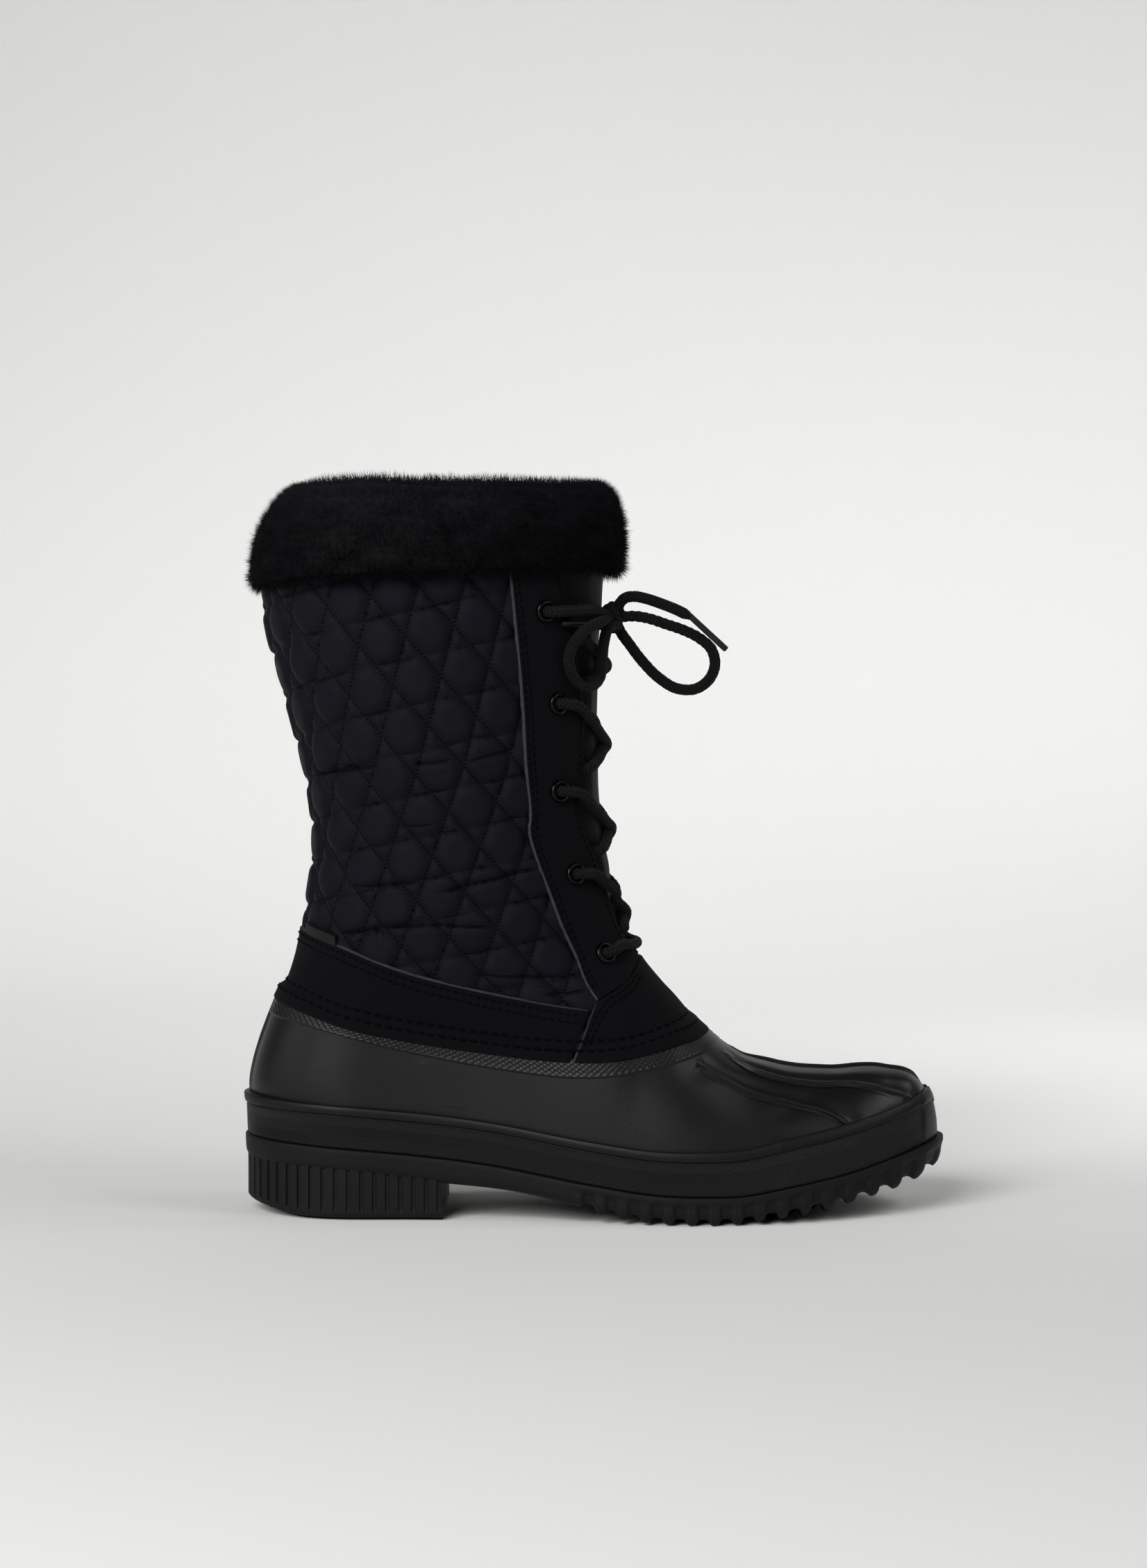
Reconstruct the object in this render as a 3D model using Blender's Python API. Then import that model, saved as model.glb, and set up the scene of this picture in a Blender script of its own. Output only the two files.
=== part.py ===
"""Right boot for snow: rubber shell on a lugged sole, quilted shaft, leather trim, fur cuff and round lace.

All lengths below are millimetres. "Station" runs from the back of the heel to the toe, "height" up from
the floor, and a positive side is the inner side of the foot. "Offset" is the distance outside the skin of
the upper, which every piece is measured from.
"""

import math

import bmesh
import bpy
import numpy as np

MM = 0.001
HEEL_CENTRE = 43.0

# Upper
WALL = 3.0
COLLAR_HEIGHT = 278.0
TOE_START = 196.0
TOE_TIP = 265.6
TOE_POWER = 2.3
HEEL_ROUND = 40.0
FOOT_ROUND = 2.4
LEG_ROUND = 2.2
LEG_START = 62.0
LEG_FULL = 118.0
COLUMNS = 18

# Layers outside the skin
SHELL_IN = 0.4
SHELL_OUT = 2.6
LEATHER_IN = 0.8
LEATHER_OUT = 2.0
LAP_IN = 3.0
LAP_OUT = 3.9
LAP_DEPTH = 1.6
FOXING_IN = 3.0
FOXING_BAND = 5.0
FOXING_RIBBON = 5.7
FOXING_TOP = 16.4
RIBBON_FOOT = 11.8
BEAD_OUT = 6.1
BEAD_HEIGHT = 4.6
SOLE_GAP = 0.3

# Outsole
HEEL_BREAST = 81.0
HEEL_RIBS = 38
RIB_DEPTH = 0.9
LUG_FIRST = 130.5
LUG_PITCH = 8.5
LUG_COUNT = 16

# Inside
INSOLE_THICK = 4.0
TONGUE_THICK = 3.4
TONGUE_TOP = 258.0

# Hardware and lace
EYELET_HOLE = 2.7
EYELET_FLANGE = 4.6
HOLE_RADIUS = 4.0
LACE_RADIUS = 2.2
AGLET_RADIUS = 1.2

# Ridges on the toe
RIDGE_RADIUS = 1.3


def table(columns, rows):
    """A table whose columns are called by name."""
    return np.array(rows, dtype=[(name, float) for name in columns.split()])


FRONT_LINE = table(
    "station height",
    [
        (265.5, 22.0), (265.3, 34.0), (263.4, 42.5), (258.0, 48.6), (250.0, 51.8), (240.0, 52.6),
        (228.0, 52.0), (215.0, 52.6), (203.0, 55.2), (194.0, 59.0), (186.0, 64.2), (178.0, 70.8),
        (170.0, 78.4), (161.0, 88.0), (152.5, 98.8), (147.8, 110.0), (144.4, 121.0), (140.8, 136.5),
        (138.2, 152.0), (137.2, 170.0), (136.6, 195.0), (137.4, 222.0), (139.2, 245.0), (140.5, 262.0),
        (139.5, 284.0),
    ],
)

BACK_LINE = table(
    "height station",
    [
        (8.0, 6.2), (30.0, 6.2), (40.0, 5.8), (50.0, 5.0), (56.0, 6.0), (64.0, 8.2), (72.0, 11.0),
        (80.0, 14.2), (92.0, 19.4), (104.0, 22.6), (120.0, 24.6), (136.0, 26.8), (150.0, 26.9),
        (162.0, 25.6), (178.0, 22.2), (194.0, 18.1), (210.0, 13.6), (226.0, 9.4), (240.0, 7.8),
        (256.0, 8.6), (268.0, 11.5), (284.0, 16.5),
    ],
)

PLAN = table(
    "station half_width centre",
    [
        (0.0, 30.0, 0.0), (40.0, 30.5, 0.0), (75.0, 31.0, 0.3), (105.0, 33.5, -0.4), (140.0, 39.5, -1.6),
        (172.0, 43.6, -1.2), (200.0, 44.0, 1.0), (230.0, 42.8, 4.2), (266.0, 41.0, 7.5),
    ],
)

LEG_WIDTH = table(
    "height half_width",
    [
        (50.0, 41.0), (80.0, 40.0), (100.0, 39.0), (120.0, 39.5), (150.0, 41.5), (180.0, 45.0),
        (210.0, 48.0), (240.0, 50.0), (284.0, 50.0),
    ],
)

# Upper edge of the outsole, and the underside of its plate between heel and forefoot
SOLE_LINE = table(
    "station top",
    [
        (-2.0, 30.6), (45.0, 27.0), (94.0, 22.0), (136.0, 15.0), (160.0, 11.6), (178.0, 10.9),
        (192.0, 11.2), (209.0, 14.2), (230.0, 18.2), (251.0, 23.8), (266.0, 28.2), (274.0, 30.2),
    ],
)

UNDERSIDE = table(
    "station height",
    [
        (-2.0, 21.4), (40.0, 18.8), (81.0, 14.2), (93.0, 13.2), (104.0, 12.0), (114.0, 10.4),
        (122.0, 8.8), (130.0, 6.8),
    ],
)

LUG_LINE = table(
    "station height",
    [
        (130.0, 6.8), (139.0, 4.8), (148.0, 2.8), (156.0, 1.3), (164.0, 0.3), (168.0, 0.0), (204.0, 0.0),
        (212.0, 0.5), (221.0, 2.0), (231.0, 5.0), (242.0, 9.0), (253.0, 13.2), (264.0, 17.2), (274.0, 20.8),
    ],
)

# Edges of the pieces, as they cross the side view
TOPLINE = table(
    "station height",
    [
        (14.6, 81.0), (26.0, 77.8), (38.6, 73.8), (56.0, 70.0), (76.0, 66.6), (97.0, 63.6), (114.0, 61.6),
        (128.0, 60.8), (141.0, 60.8), (154.0, 62.2), (165.0, 64.4), (174.0, 66.6), (180.4, 68.8),
    ],
)

BAND_TOP = table(
    "station height",
    [
        (23.6, 110.4), (39.0, 105.0), (61.5, 96.6), (88.0, 89.6), (110.0, 84.9), (124.0, 82.2),
        (134.4, 80.6),
    ],
)

VAMP_TOP = table(
    "station height",
    [(136.6, 83.8), (139.8, 85.6), (144.4, 88.4), (148.6, 92.0), (150.6, 95.2), (152.3, 98.6)],
)

EYESTAY = table(
    "height_back back height_front front",
    [
        (84.6, 136.4, 99.2, 151.6), (91.0, 132.2, 104.5, 147.6), (100.0, 128.6, 112.5, 143.4),
        (112.0, 123.0, 122.0, 140.2), (124.0, 118.6, 137.0, 135.6), (136.5, 114.0, 152.0, 129.8),
        (147.5, 110.8, 160.0, 129.4), (156.0, 111.0, 171.5, 130.0), (175.0, 109.2, 184.0, 130.8),
        (197.0, 108.0, 198.0, 130.6), (221.0, 106.0, 222.0, 127.4), (250.0, 103.4, 250.0, 121.0),
    ],
)

EYELETS = table(
    "station height",
    [(116.6, 232.4), (121.0, 197.4), (121.6, 164.0), (127.6, 132.0), (139.2, 100.8)],
)

RIDGES = table(
    "station_outer height_outer station_inner height_inner",
    [
        (176.0, 57.6, 186.0, 60.2), (184.0, 52.4, 197.0, 53.6), (192.5, 47.8, 209.0, 49.6),
        (203.0, 44.4, 220.0, 48.2), (213.0, 42.2, 237.0, 47.6), (222.0, 40.0, 248.0, 45.6),
        (229.0, 37.6, 255.0, 43.2),
    ],
)

# The cuff's section, from the inner foot of its outer leaf round to where that leaf meets the collar
CUFF = table(
    "offset height lock",
    [
        (2.8, 245.5, 0.0), (5.4, 242.4, 1.0), (7.9, 244.4, 1.0), (8.7, 251.0, 0.7), (8.6, 259.0, 0.7),
        (7.6, 267.0, 0.7), (5.2, 275.0, 0.6), (1.6, 281.8, 0.5), (-3.4, 284.4, 0.4), (-7.4, 281.6, 0.3),
        (-8.8, 273.0, 0.3), (-7.6, 263.4, 0.3), (-4.8, 263.4, 0.0), (-4.2, 279.4, 0.0), (2.8, 279.4, 0.0),
    ],
)

# Centre lines of the bow: the loop and the end that lie on the boot, and what hangs clear of it
LOOP_SIDE = table(
    "side height offset",
    [
        (-18.6, 220.6, 8.8), (-24.4, 220.4, 8.2), (-29.2, 217.2, 6.0), (-31.6, 212.4, 4.7), (-30.6, 206.6, 4.7),
        (-26.0, 203.2, 6.0), (-20.4, 204.8, 7.2), (-16.4, 209.8, 7.4), (-13.6, 214.6, 7.6), (-11.4, 218.8, 7.6),
    ],
)
END_SIDE = table(
    "side height offset",
    [(-18.6, 227.5, 5.4), (-21.4, 227.3, 5.0), (-25.4, 227.1, 4.8)],
)
AGLET_SIDE = table(
    "side height offset",
    [(-25.9, 227.0, 4.7), (-32.6, 226.4, 3.7), (-38.6, 226.0, 3.6)],
)
LOOP_FRONT = table(
    "station side height",
    [
        (152.6, -8.4, 230.8), (157.6, -8.8, 229.9), (164.0, -8.6, 227.8), (171.0, -8.0, 225.4),
        (177.0, -7.0, 222.4), (181.4, -6.0, 218.0), (182.4, -5.0, 212.4), (179.4, -4.2, 207.0),
        (174.0, -4.0, 203.8), (167.4, -4.4, 204.2), (160.8, -5.2, 208.0), (155.0, -6.2, 213.6),
        (150.4, -7.2, 219.4),
    ],
)
END_FRONT = table(
    "station side height",
    [
        (148.4, -11.4, 237.9), (151.8, -12.4, 238.4), (156.0, -13.6, 237.6), (162.0, -14.8, 235.6),
        (168.0, -15.6, 233.2), (173.4, -16.0, 230.4),
    ],
)
AGLET_FRONT = table("station side height", [(173.9, -16.1, 230.1), (187.2, -16.8, 217.8)])
KNOT_CENTRE = (143.4, -8.4, 230.4)
KNOT_RADII = (5.0, 5.8, 6.0)
KNOT_GAP = 0.25

COLOURS = {
    "rubber": ((0.011, 0.011, 0.0115), 0.45),
    "tread_rubber": ((0.010, 0.010, 0.010), 0.6),
    "nubuck": ((0.004, 0.004, 0.0045), 0.9),
    "quilted_nylon": ((0.008, 0.009, 0.011), 0.7),
    "tongue_cloth": ((0.006, 0.007, 0.009), 0.75),
    "fur": ((0.005, 0.005, 0.005), 0.9),
    "lace_cord": ((0.009, 0.009, 0.010), 0.85),
    "aglet_plastic": ((0.006, 0.006, 0.006), 0.3),
    "black_metal": ((0.012, 0.012, 0.012), 0.4),
    "insole_felt": ((0.020, 0.020, 0.020), 0.95),
    "tab_cloth": ((0.008, 0.008, 0.008), 0.8),
}


def smooth_curve(xs, ys):
    """A curve through every row, its slope at each row taken from the rows beside it."""
    xs = np.asarray(xs, float)
    ys = np.asarray(ys, float)
    slopes = np.gradient(ys, xs)

    def curve(x):
        x = np.clip(x, xs[0], xs[-1])
        i = np.clip(np.searchsorted(xs, x) - 1, 0, len(xs) - 2)
        step = xs[i + 1] - xs[i]
        t = (x - xs[i]) / step
        start = (1 + 2 * t) * (1 - t) ** 2 * ys[i] + t * (1 - t) ** 2 * step * slopes[i]
        end = t * t * (3 - 2 * t) * ys[i + 1] + t * t * (t - 1) * step * slopes[i + 1]
        return start + end

    return curve


def dense_line(points, count=400):
    """A smooth line through the points, as many close points along it."""
    points = np.asarray(points, float)
    along = np.concatenate([[0.0], np.cumsum(np.linalg.norm(np.diff(points, axis=0), axis=1))])
    at = np.linspace(0.0, along[-1], count)
    return np.stack([smooth_curve(along, points[:, k])(at) for k in range(points.shape[1])], axis=1)


def smooth_step(x, start, end):
    t = np.clip((x - start) / (end - start), 0.0, 1.0)
    return t * t * (3 - 2 * t)


def mix(a, b, t):
    return a + (b - a) * t


FRONT = dense_line(np.stack([FRONT_LINE["station"], FRONT_LINE["height"]], axis=1), 900)
RISING = FRONT[: int(np.argmin(FRONT[:, 0])) + 1]
LOW_TOP = RISING[RISING[:, 1] < 121.0]
STEEP = FRONT[(FRONT[:, 0] < 224.0)]

back_station = smooth_curve(BACK_LINE["height"], BACK_LINE["station"])
plan_half = smooth_curve(PLAN["station"], PLAN["half_width"])
plan_centre = smooth_curve(PLAN["station"], PLAN["centre"])
leg_half = smooth_curve(LEG_WIDTH["height"], LEG_WIDTH["half_width"])
sole_top = smooth_curve(SOLE_LINE["station"], SOLE_LINE["top"])
underside = smooth_curve(UNDERSIDE["station"], UNDERSIDE["height"])
topline = smooth_curve(TOPLINE["station"], TOPLINE["height"])
RIM_BACK = 15.2
RIM_FRONT = 178.7


def shell_rim(station):
    """The shell's upper edge, a little above the leather edge that laps over it."""
    share = (station - RIM_BACK) / (RIM_FRONT - RIM_BACK)
    return topline(mix(TOPLINE["station"][0], TOPLINE["station"][-1], share)) + LAP_DEPTH


def lug_height(station):
    """How high the lugs' faces stand; level with the floor under the ball of the foot."""
    return np.interp(station, LUG_LINE["station"], LUG_LINE["height"])


def front_station(height):
    """Where the front of the boot is, at a height above the toe."""
    return np.interp(height, STEEP[:, 1], STEEP[:, 0])


def top_height(station):
    """How high the foot's upper side is at a station; it runs on steeply behind the instep."""
    line = LOW_TOP[::-1]
    return np.interp(station, line[:, 0], line[:, 1]) + 2.6 * np.maximum(line[0, 0] - station, 0.0)


def leg_share(height):
    return smooth_step(height, LEG_START, LEG_FULL)


def meet(a, b):
    """The product of two shares of the width, negative as soon as either is."""
    return np.where((a > 0) & (b > 0), a * b, np.minimum(a, b))


def half_width_squared(station, height):
    """Square of the half-width at a point of the side view; negative outside the outline."""
    from_back = np.minimum((station - back_station(height)) / HEEL_ROUND, 1.0)
    heel = 1 - (1 - from_back) ** 2
    toe = 1 - np.clip((station - TOE_START) / (TOE_TIP - TOE_START), 0.0, None) ** TOE_POWER
    low = sole_top(station)
    rise = np.clip((height - low) / (top_height(station) - low), 0.0, None)
    foot = plan_half(station) ** 2 * meet(meet(heel, toe), 1 - rise**FOOT_ROUND)
    front, back = front_station(height), back_station(height)
    across = np.abs((2 * station - front - back) / (front - back))
    leg = leg_half(height) ** 2 * (1 - across**LEG_ROUND)
    return mix(foot, leg, leg_share(height))


def centre(station, height):
    return plan_centre(station) * (1 - leg_share(height))


def skin(station, height, side, offset=0.0):
    """Points on the upper's skin, seen at (station, height) on one side, moved out by the offset."""
    station, height, side, offset = np.broadcast_arrays(
        np.asarray(station, float), np.asarray(height, float), np.asarray(side, float), np.asarray(offset, float)
    )
    step = 0.4
    square = half_width_squared(station, height)
    half = side * np.sqrt(np.maximum(square, 0.0))
    slope_x = (half_width_squared(station + step, height) - half_width_squared(station - step, height)) / (2 * step)
    slope_z = (half_width_squared(station, height + step) - half_width_squared(station, height - step)) / (2 * step)
    turn = (centre(station + step, height) - centre(station - step, height)) / (2 * step)
    normal = np.stack([-slope_x - 2 * half * turn, 2 * half, -slope_z], axis=-1)
    normal /= np.maximum(np.linalg.norm(normal, axis=-1, keepdims=True), 1e-9)
    point = np.stack([station, centre(station, height) + half, height], axis=-1)
    return point + offset[..., None] * normal


def skin_frame(station, height, side):
    """A point of the skin and the direction straight out of it."""
    point = skin(station, height, side)
    out = skin(station, height, side, 1.0) - point
    return point, out


def solve(inside, outside, share):
    """Between two stations, where the share changes sign."""
    inside = np.asarray(inside, float) + np.zeros_like(outside)
    outside = np.asarray(outside, float) + np.zeros_like(inside)
    for _ in range(44):
        middle = (inside + outside) / 2
        good = share(middle) > 0
        inside = np.where(good, middle, inside)
        outside = np.where(good, outside, middle)
    return inside


def front_point(side_distance, height, offset):
    """A point of the front of the leg at a distance to one side, moved out by the offset."""
    side_distance = np.asarray(side_distance, float)
    height = np.asarray(height, float) + np.zeros_like(side_distance)
    front = front_station(height)
    inner = mix(back_station(height), front, 0.55)
    station = solve(inner, front, lambda x: half_width_squared(x, height) - side_distance**2)
    return skin(station, height, np.where(side_distance < 0, -1.0, 1.0), offset)


AROUND = (1 - np.cos(np.pi * np.linspace(0.0, 1.0, COLUMNS + 1))) / 2


def band_ring(rise, spread=AROUND):
    """One side of a level ring at a rise above the sole's edge, from the toe to the heel."""
    front = solve(200.0, np.array(276.0), lambda x: half_width_squared(x, sole_top(x) + rise))
    back = np.array(6.0)
    for _ in range(30):
        back = back_station(sole_top(back) + rise)
    station = mix(front, back, spread)
    return station, sole_top(station) + rise


SHELL_FOOT = 17.2
TOE_RING = band_ring(SHELL_FOOT)


def shell_ring(share):
    """One side of a ring between the band and the topline; its front end travels up over the toe."""
    if share <= 0:
        return TOE_RING
    first = int(np.argmin(np.abs(FRONT[:, 0] - TOE_RING[0][0])))
    last = int(np.argmin(np.abs(FRONT[:, 0] - RIM_FRONT)))
    front = FRONT[int(round(mix(first, last, share)))]
    back_height = mix(TOE_RING[1][-1], TOPLINE["height"][0] + LAP_DEPTH, share)
    back = back_station(back_height)
    station = mix(front[0], back, AROUND)
    ahead = (station - back) / (front[0] - back)
    up = share + (1 - share) * np.clip(ahead, 0.0, 1.0) ** (5.0 / math.sqrt(share))
    low = sole_top(station) + SHELL_FOOT
    high = np.where(station < RIM_FRONT, shell_rim(station), top_height(station))
    return station, np.where(ahead >= 1, front[1], np.where(ahead <= 0, back_height, mix(low, high, up)))


TOP_RING = shell_ring(1.0)


def forward_share(station, height):
    return (station - back_station(height)) / (front_station(height) - back_station(height))


def at_share(share, height):
    return mix(back_station(height), front_station(height), share)


TOP_SHARE = np.clip(forward_share(*TOP_RING), 0.0, 1.0)
TOP_SHARE[0] = 1.0
TOP_SHARE[-1] = 0.0
THROAT_FOOT = 99.0
THROAT_BACK = 118.0
throat_edge = smooth_curve(EYESTAY["height_front"], EYESTAY["front"])


def instep_ring(share):
    """One side of a ring between the topline and the foot of the throat."""
    height = mix(TOP_RING[1], mix(THROAT_BACK, THROAT_FOOT, TOP_SHARE), share)
    return at_share(TOP_SHARE, height), height


def shaft_ring(share):
    """One side of the shaft from the throat's edge to the back."""
    front_height = mix(THROAT_FOOT, COLLAR_HEIGHT, share)
    back_height = mix(THROAT_BACK, COLLAR_HEIGHT, share)
    edge = forward_share(throat_edge(front_height), front_height) if share > 0 else 1.0
    if front_height > 250.0:
        edge = forward_share(throat_edge(250.0) - 0.12 * (front_height - 250.0), front_height)
    spread = TOP_SHARE * edge
    height = mix(back_height, front_height, TOP_SHARE)
    return at_share(spread, height), height


def both_sides(ring, offset):
    """The full row of a ring: outer side from front to back, then inner side from back to front."""
    station, height = ring
    side = np.concatenate([-np.ones(len(station)), np.ones(len(station))])
    return skin(np.concatenate([station, station[::-1]]), np.concatenate([height, height[::-1]]), side, offset)


def material(name):
    made = bpy.data.materials.get(name)
    if made:
        return made
    made = bpy.data.materials.new(name)
    made.use_nodes = True
    colour, roughness = COLOURS[name]
    shader = made.node_tree.nodes["Principled BSDF"]
    shader.inputs["Base Color"].default_value = (*colour, 1.0)
    shader.inputs["Roughness"].default_value = roughness
    shader.inputs["Metallic"].default_value = 1.0 if name == "black_metal" else 0.0
    return made


def placed(points):
    return (np.asarray(points, float) - np.array([HEEL_CENTRE, 0.0, 0.0])) * MM


def make_object(name, points, faces, material_name, smooth=True):
    """One closed object; points that coincide become one, and faces that fold away are left out."""
    points = np.asarray(points, float).reshape(-1, 3)
    _, first, index = np.unique(np.round(points, 3), axis=0, return_index=True, return_inverse=True)
    index = index.reshape(-1)
    kept = []
    for face in faces:
        corners = [int(index[i]) for i in face]
        loop = [corner for corner, before in zip(corners, corners[-1:] + corners[:-1]) if corner != before]
        if len(loop) > 2 and len(set(loop)) == len(loop):
            kept.append(loop)
    mesh = bpy.data.meshes.new(name)
    mesh.from_pydata(placed(points[first]).tolist(), [], kept)
    work = bmesh.new()
    work.from_mesh(mesh)
    bmesh.ops.recalc_face_normals(work, faces=work.faces)
    work.to_mesh(mesh)
    work.free()
    mesh.materials.append(material(material_name))
    for face in mesh.polygons:
        face.use_smooth = smooth
    made = bpy.data.objects.new(name, mesh)
    bpy.context.collection.objects.link(made)
    if smooth:
        mesh.set_sharp_from_angle(angle=math.radians(35))
    return made


def split(a, b, c, d, leaning):
    """Two triangles of a four-sided face; the rings lean back, so each side is split its own way."""
    return [(a, b, d), (b, c, d)] if leaning else [(a, b, c), (a, c, d)]


def grid_faces(rows, columns):
    faces = []
    for i in range(rows - 1):
        for j in range(columns - 1):
            near, far = i * columns + j, (i + 1) * columns + j
            faces += split(near, near + 1, far + 1, far, j < columns // 2)
    return faces


def make_wall(name, outer, inner, material_name):
    """A wall between two grids of points, closed round every free edge."""
    outer = np.asarray(outer, float)
    rows, columns = outer.shape[:2]
    outer = outer.reshape(-1, 3)
    inner = np.asarray(inner, float).reshape(-1, 3)
    _, first, index = np.unique(np.round(outer, 3), axis=0, return_index=True, return_inverse=True)
    index = index.reshape(-1)
    skins = [tuple(index[i] for i in face) for face in grid_faces(rows, columns)]
    skins = [face for face in skins if len(set(face)) == 3]
    uses = {}
    for face in skins:
        for a, b in zip(face, face[1:] + face[:1]):
            uses.setdefault((min(a, b), max(a, b)), []).append((a, b))
    count = len(first)
    faces = skins + [tuple(count + i for i in reversed(face)) for face in skins]
    faces += [(b, a, count + a, count + b) for found in uses.values() if len(found) == 1 for a, b in found]
    return make_object(name, np.concatenate([outer[first], inner[first]]), faces, material_name)


def make_ring(name, loops, material_name):
    """A closed band swept round from loops of points; the loops join each other in turn."""
    loops = np.asarray(loops, float)
    rows, columns = loops.shape[:2]
    faces = []
    for i in range(rows):
        for j in range(columns):
            near, far = i * columns, (i + 1) % rows * columns
            beside = (j + 1) % columns
            faces += split(near + j, near + beside, far + beside, far + j, j < columns // 2)
    return make_object(name, loops, faces, material_name)


def make_loft(name, loops, material_name, smooth=True):
    """A solid through loops of points, closed at both ends."""
    loops = np.asarray(loops, float)
    rows, columns = loops.shape[:2]
    faces = [
        (i * columns + j, i * columns + (j + 1) % columns, (i + 1) * columns + (j + 1) % columns,
         (i + 1) * columns + j)
        for i in range(rows - 1)
        for j in range(columns)
    ]
    faces.append(tuple(range(columns)))
    faces.append(tuple((rows - 1) * columns + j for j in reversed(range(columns))))
    return make_object(name, loops, faces, material_name, smooth)


def tube_loops(path, radii, sides):
    """Rings of points round a path, turned as little as possible from one to the next."""
    path = np.asarray(path, float)
    along = np.gradient(path, axis=0)
    along /= np.linalg.norm(along, axis=1, keepdims=True)
    up = np.array([0.0, 0.0, 1.0]) if abs(along[0][2]) < 0.9 else np.array([0.0, 1.0, 0.0])
    loops = []
    for point, way, radius in zip(path, along, radii):
        up = up - way * (up @ way)
        up /= np.linalg.norm(up)
        other = np.cross(way, up)
        turn = 2 * np.pi * np.arange(sides) / sides
        loops.append(point + radius * (np.outer(np.cos(turn), up) + np.outer(np.sin(turn), other)))
    return loops


def make_tube(name, path, radii, material_name, sides=8):
    radii = np.broadcast_to(np.asarray(radii, float), (len(path),))
    return make_loft(name, tube_loops(path, radii, sides), material_name)


def hide(made):
    made.hide_render = True
    made.display_type = "WIRE"
    return made


def combine(made, other, operation):
    step = made.modifiers.new("combine", "BOOLEAN")
    step.operation = operation
    step.solver = "EXACT"
    step.object = hide(other)


def joined(name, objects):
    """One object from several that do not touch."""
    work = bmesh.new()
    for made in objects:
        work.from_mesh(made.data)
        bpy.data.objects.remove(made)
    mesh = bpy.data.meshes.new(name)
    work.to_mesh(mesh)
    work.free()
    made = bpy.data.objects.new(name, mesh)
    bpy.context.collection.objects.link(made)
    return made


def make_upper():
    rings = [band_ring(0.4), TOE_RING]
    rings += [shell_ring(share) for share in (0.25, 0.5, 0.75, 1.0)]
    rings += [instep_ring(share) for share in (0.33, 0.67, 1.0)]
    rings += [shaft_ring(share) for share in (0.09, 0.2, 0.31, 0.46, 0.64, 0.82, 1.0)]
    outer = [both_sides(ring, 0.0) for ring in rings]
    inner = [both_sides(ring, -WALL) for ring in rings]
    return make_wall("upper", outer, inner, "quilted_nylon")


def make_shell():
    rings = [band_ring(0.4), TOE_RING] + [shell_ring(share) for share in (0.25, 0.5, 0.75, 1.0)]
    outer = [both_sides(ring, SHELL_OUT) for ring in rings]
    inner = [both_sides(ring, SHELL_IN) for ring in rings]
    shell = make_wall("rubber_shell", outer, inner, "rubber")
    taper = np.array([0.35, 0.8, 1.0, 1.0, 1.0, 0.8, 0.35])
    ridges = []
    for side in (-1.0, 1.0):
        for kind in ("outer", "inner"):
            path = skin(RIDGES["station_" + kind], RIDGES["height_" + kind], side, SHELL_OUT + 0.15)
            ridges.append(make_tube("ridge", path, RIDGE_RADIUS * taper, "rubber", 6))
    crest = FRONT[(FRONT[:, 0] < 258.5) & (FRONT[:, 0] > 185.5)]
    crest = crest[np.linspace(0, len(crest) - 1, 7).astype(int)]
    path = skin(crest[:, 0], crest[:, 1], 1.0, SHELL_OUT + 0.15)
    ridges.append(make_tube("ridge", path, RIDGE_RADIUS * taper, "rubber", 6))
    combine(shell, joined("toe_ridges", ridges), "UNION")
    return shell


def make_foxing():
    section = [
        (0.4, FOXING_IN), (FOXING_TOP, FOXING_IN), (FOXING_TOP, FOXING_BAND), (FOXING_TOP - 0.8, FOXING_RIBBON),
        (RIBBON_FOOT + 0.5, FOXING_RIBBON), (RIBBON_FOOT, FOXING_BAND), (0.4, FOXING_BAND),
    ]
    loops = [both_sides(band_ring(rise), offset)[:-1] for rise, offset in section]
    return make_ring("foxing", loops, "rubber")


def outline(offset):
    """Both edges of the sole in plan, as lines of station and side sorted by station."""
    station, height = band_ring(0.5, (1 - np.cos(np.pi * np.linspace(0.0, 1.0, 181))) / 2)
    edges = []
    for side in (-1.0, 1.0):
        line = skin(station, height, side, offset)[::-1, :2]
        edges.append(line)
    return edges


def make_outsole():
    ends = (1 - np.cos(np.pi / 2 * np.linspace(0.0, 1.0, 8)[1:])) * 42.0
    heel = [-0.0] + list(ends) + [55.0, 68.0, HEEL_BREAST, 93.0, 105.0, 116.0, 125.0]
    stations = [(x, 0.0) for x in heel]
    for i in range(LUG_COUNT):
        first = LUG_FIRST + i * LUG_PITCH
        stations += [(first, 1.0), (first + 0.26 * LUG_PITCH, 0.0), (first + 0.76 * LUG_PITCH, 0.0)]
    tip = LUG_FIRST + LUG_COUNT * LUG_PITCH
    stations += [(tip, 1.0), (tip + 2.4, 0.0), (271.6, 0.0), (272.2, 0.0)]
    first_station, last_station = stations[0][0], stations[-1][0]
    edge_lines = {offset: outline(offset) for offset in (BEAD_OUT, 3.8, 4.3)}
    loops = []
    for station, groove in stations:
        share = (station - first_station) / (last_station - first_station)
        rows = []
        for offset, level in ((BEAD_OUT, 0), (BEAD_OUT, 1), (4.3, 2), (3.8, 3)):
            pair = []
            for line in edge_lines[offset]:
                x = mix(line[0, 0], line[-1, 0], share)
                top = sole_top(mix(6.2, 265.4, share)) - SOLE_GAP
                ground = underside(x) if x < 129.0 else lug_height(x) + groove * (top - 6.0 - lug_height(x))
                height = (top, top - BEAD_HEIGHT, top - BEAD_HEIGHT - 0.6, min(ground, top - BEAD_HEIGHT - 1.1))[level]
                pair.append((x, np.interp(x, line[:, 0], line[:, 1]), height))
            rows.append(pair)
        loops.append([pair[0] for pair in rows] + [pair[1] for pair in reversed(rows)])
    outsole = make_loft("outsole", loops, "tread_rubber", False)
    combine(outsole, make_heel(), "UNION")
    return outsole


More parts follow.
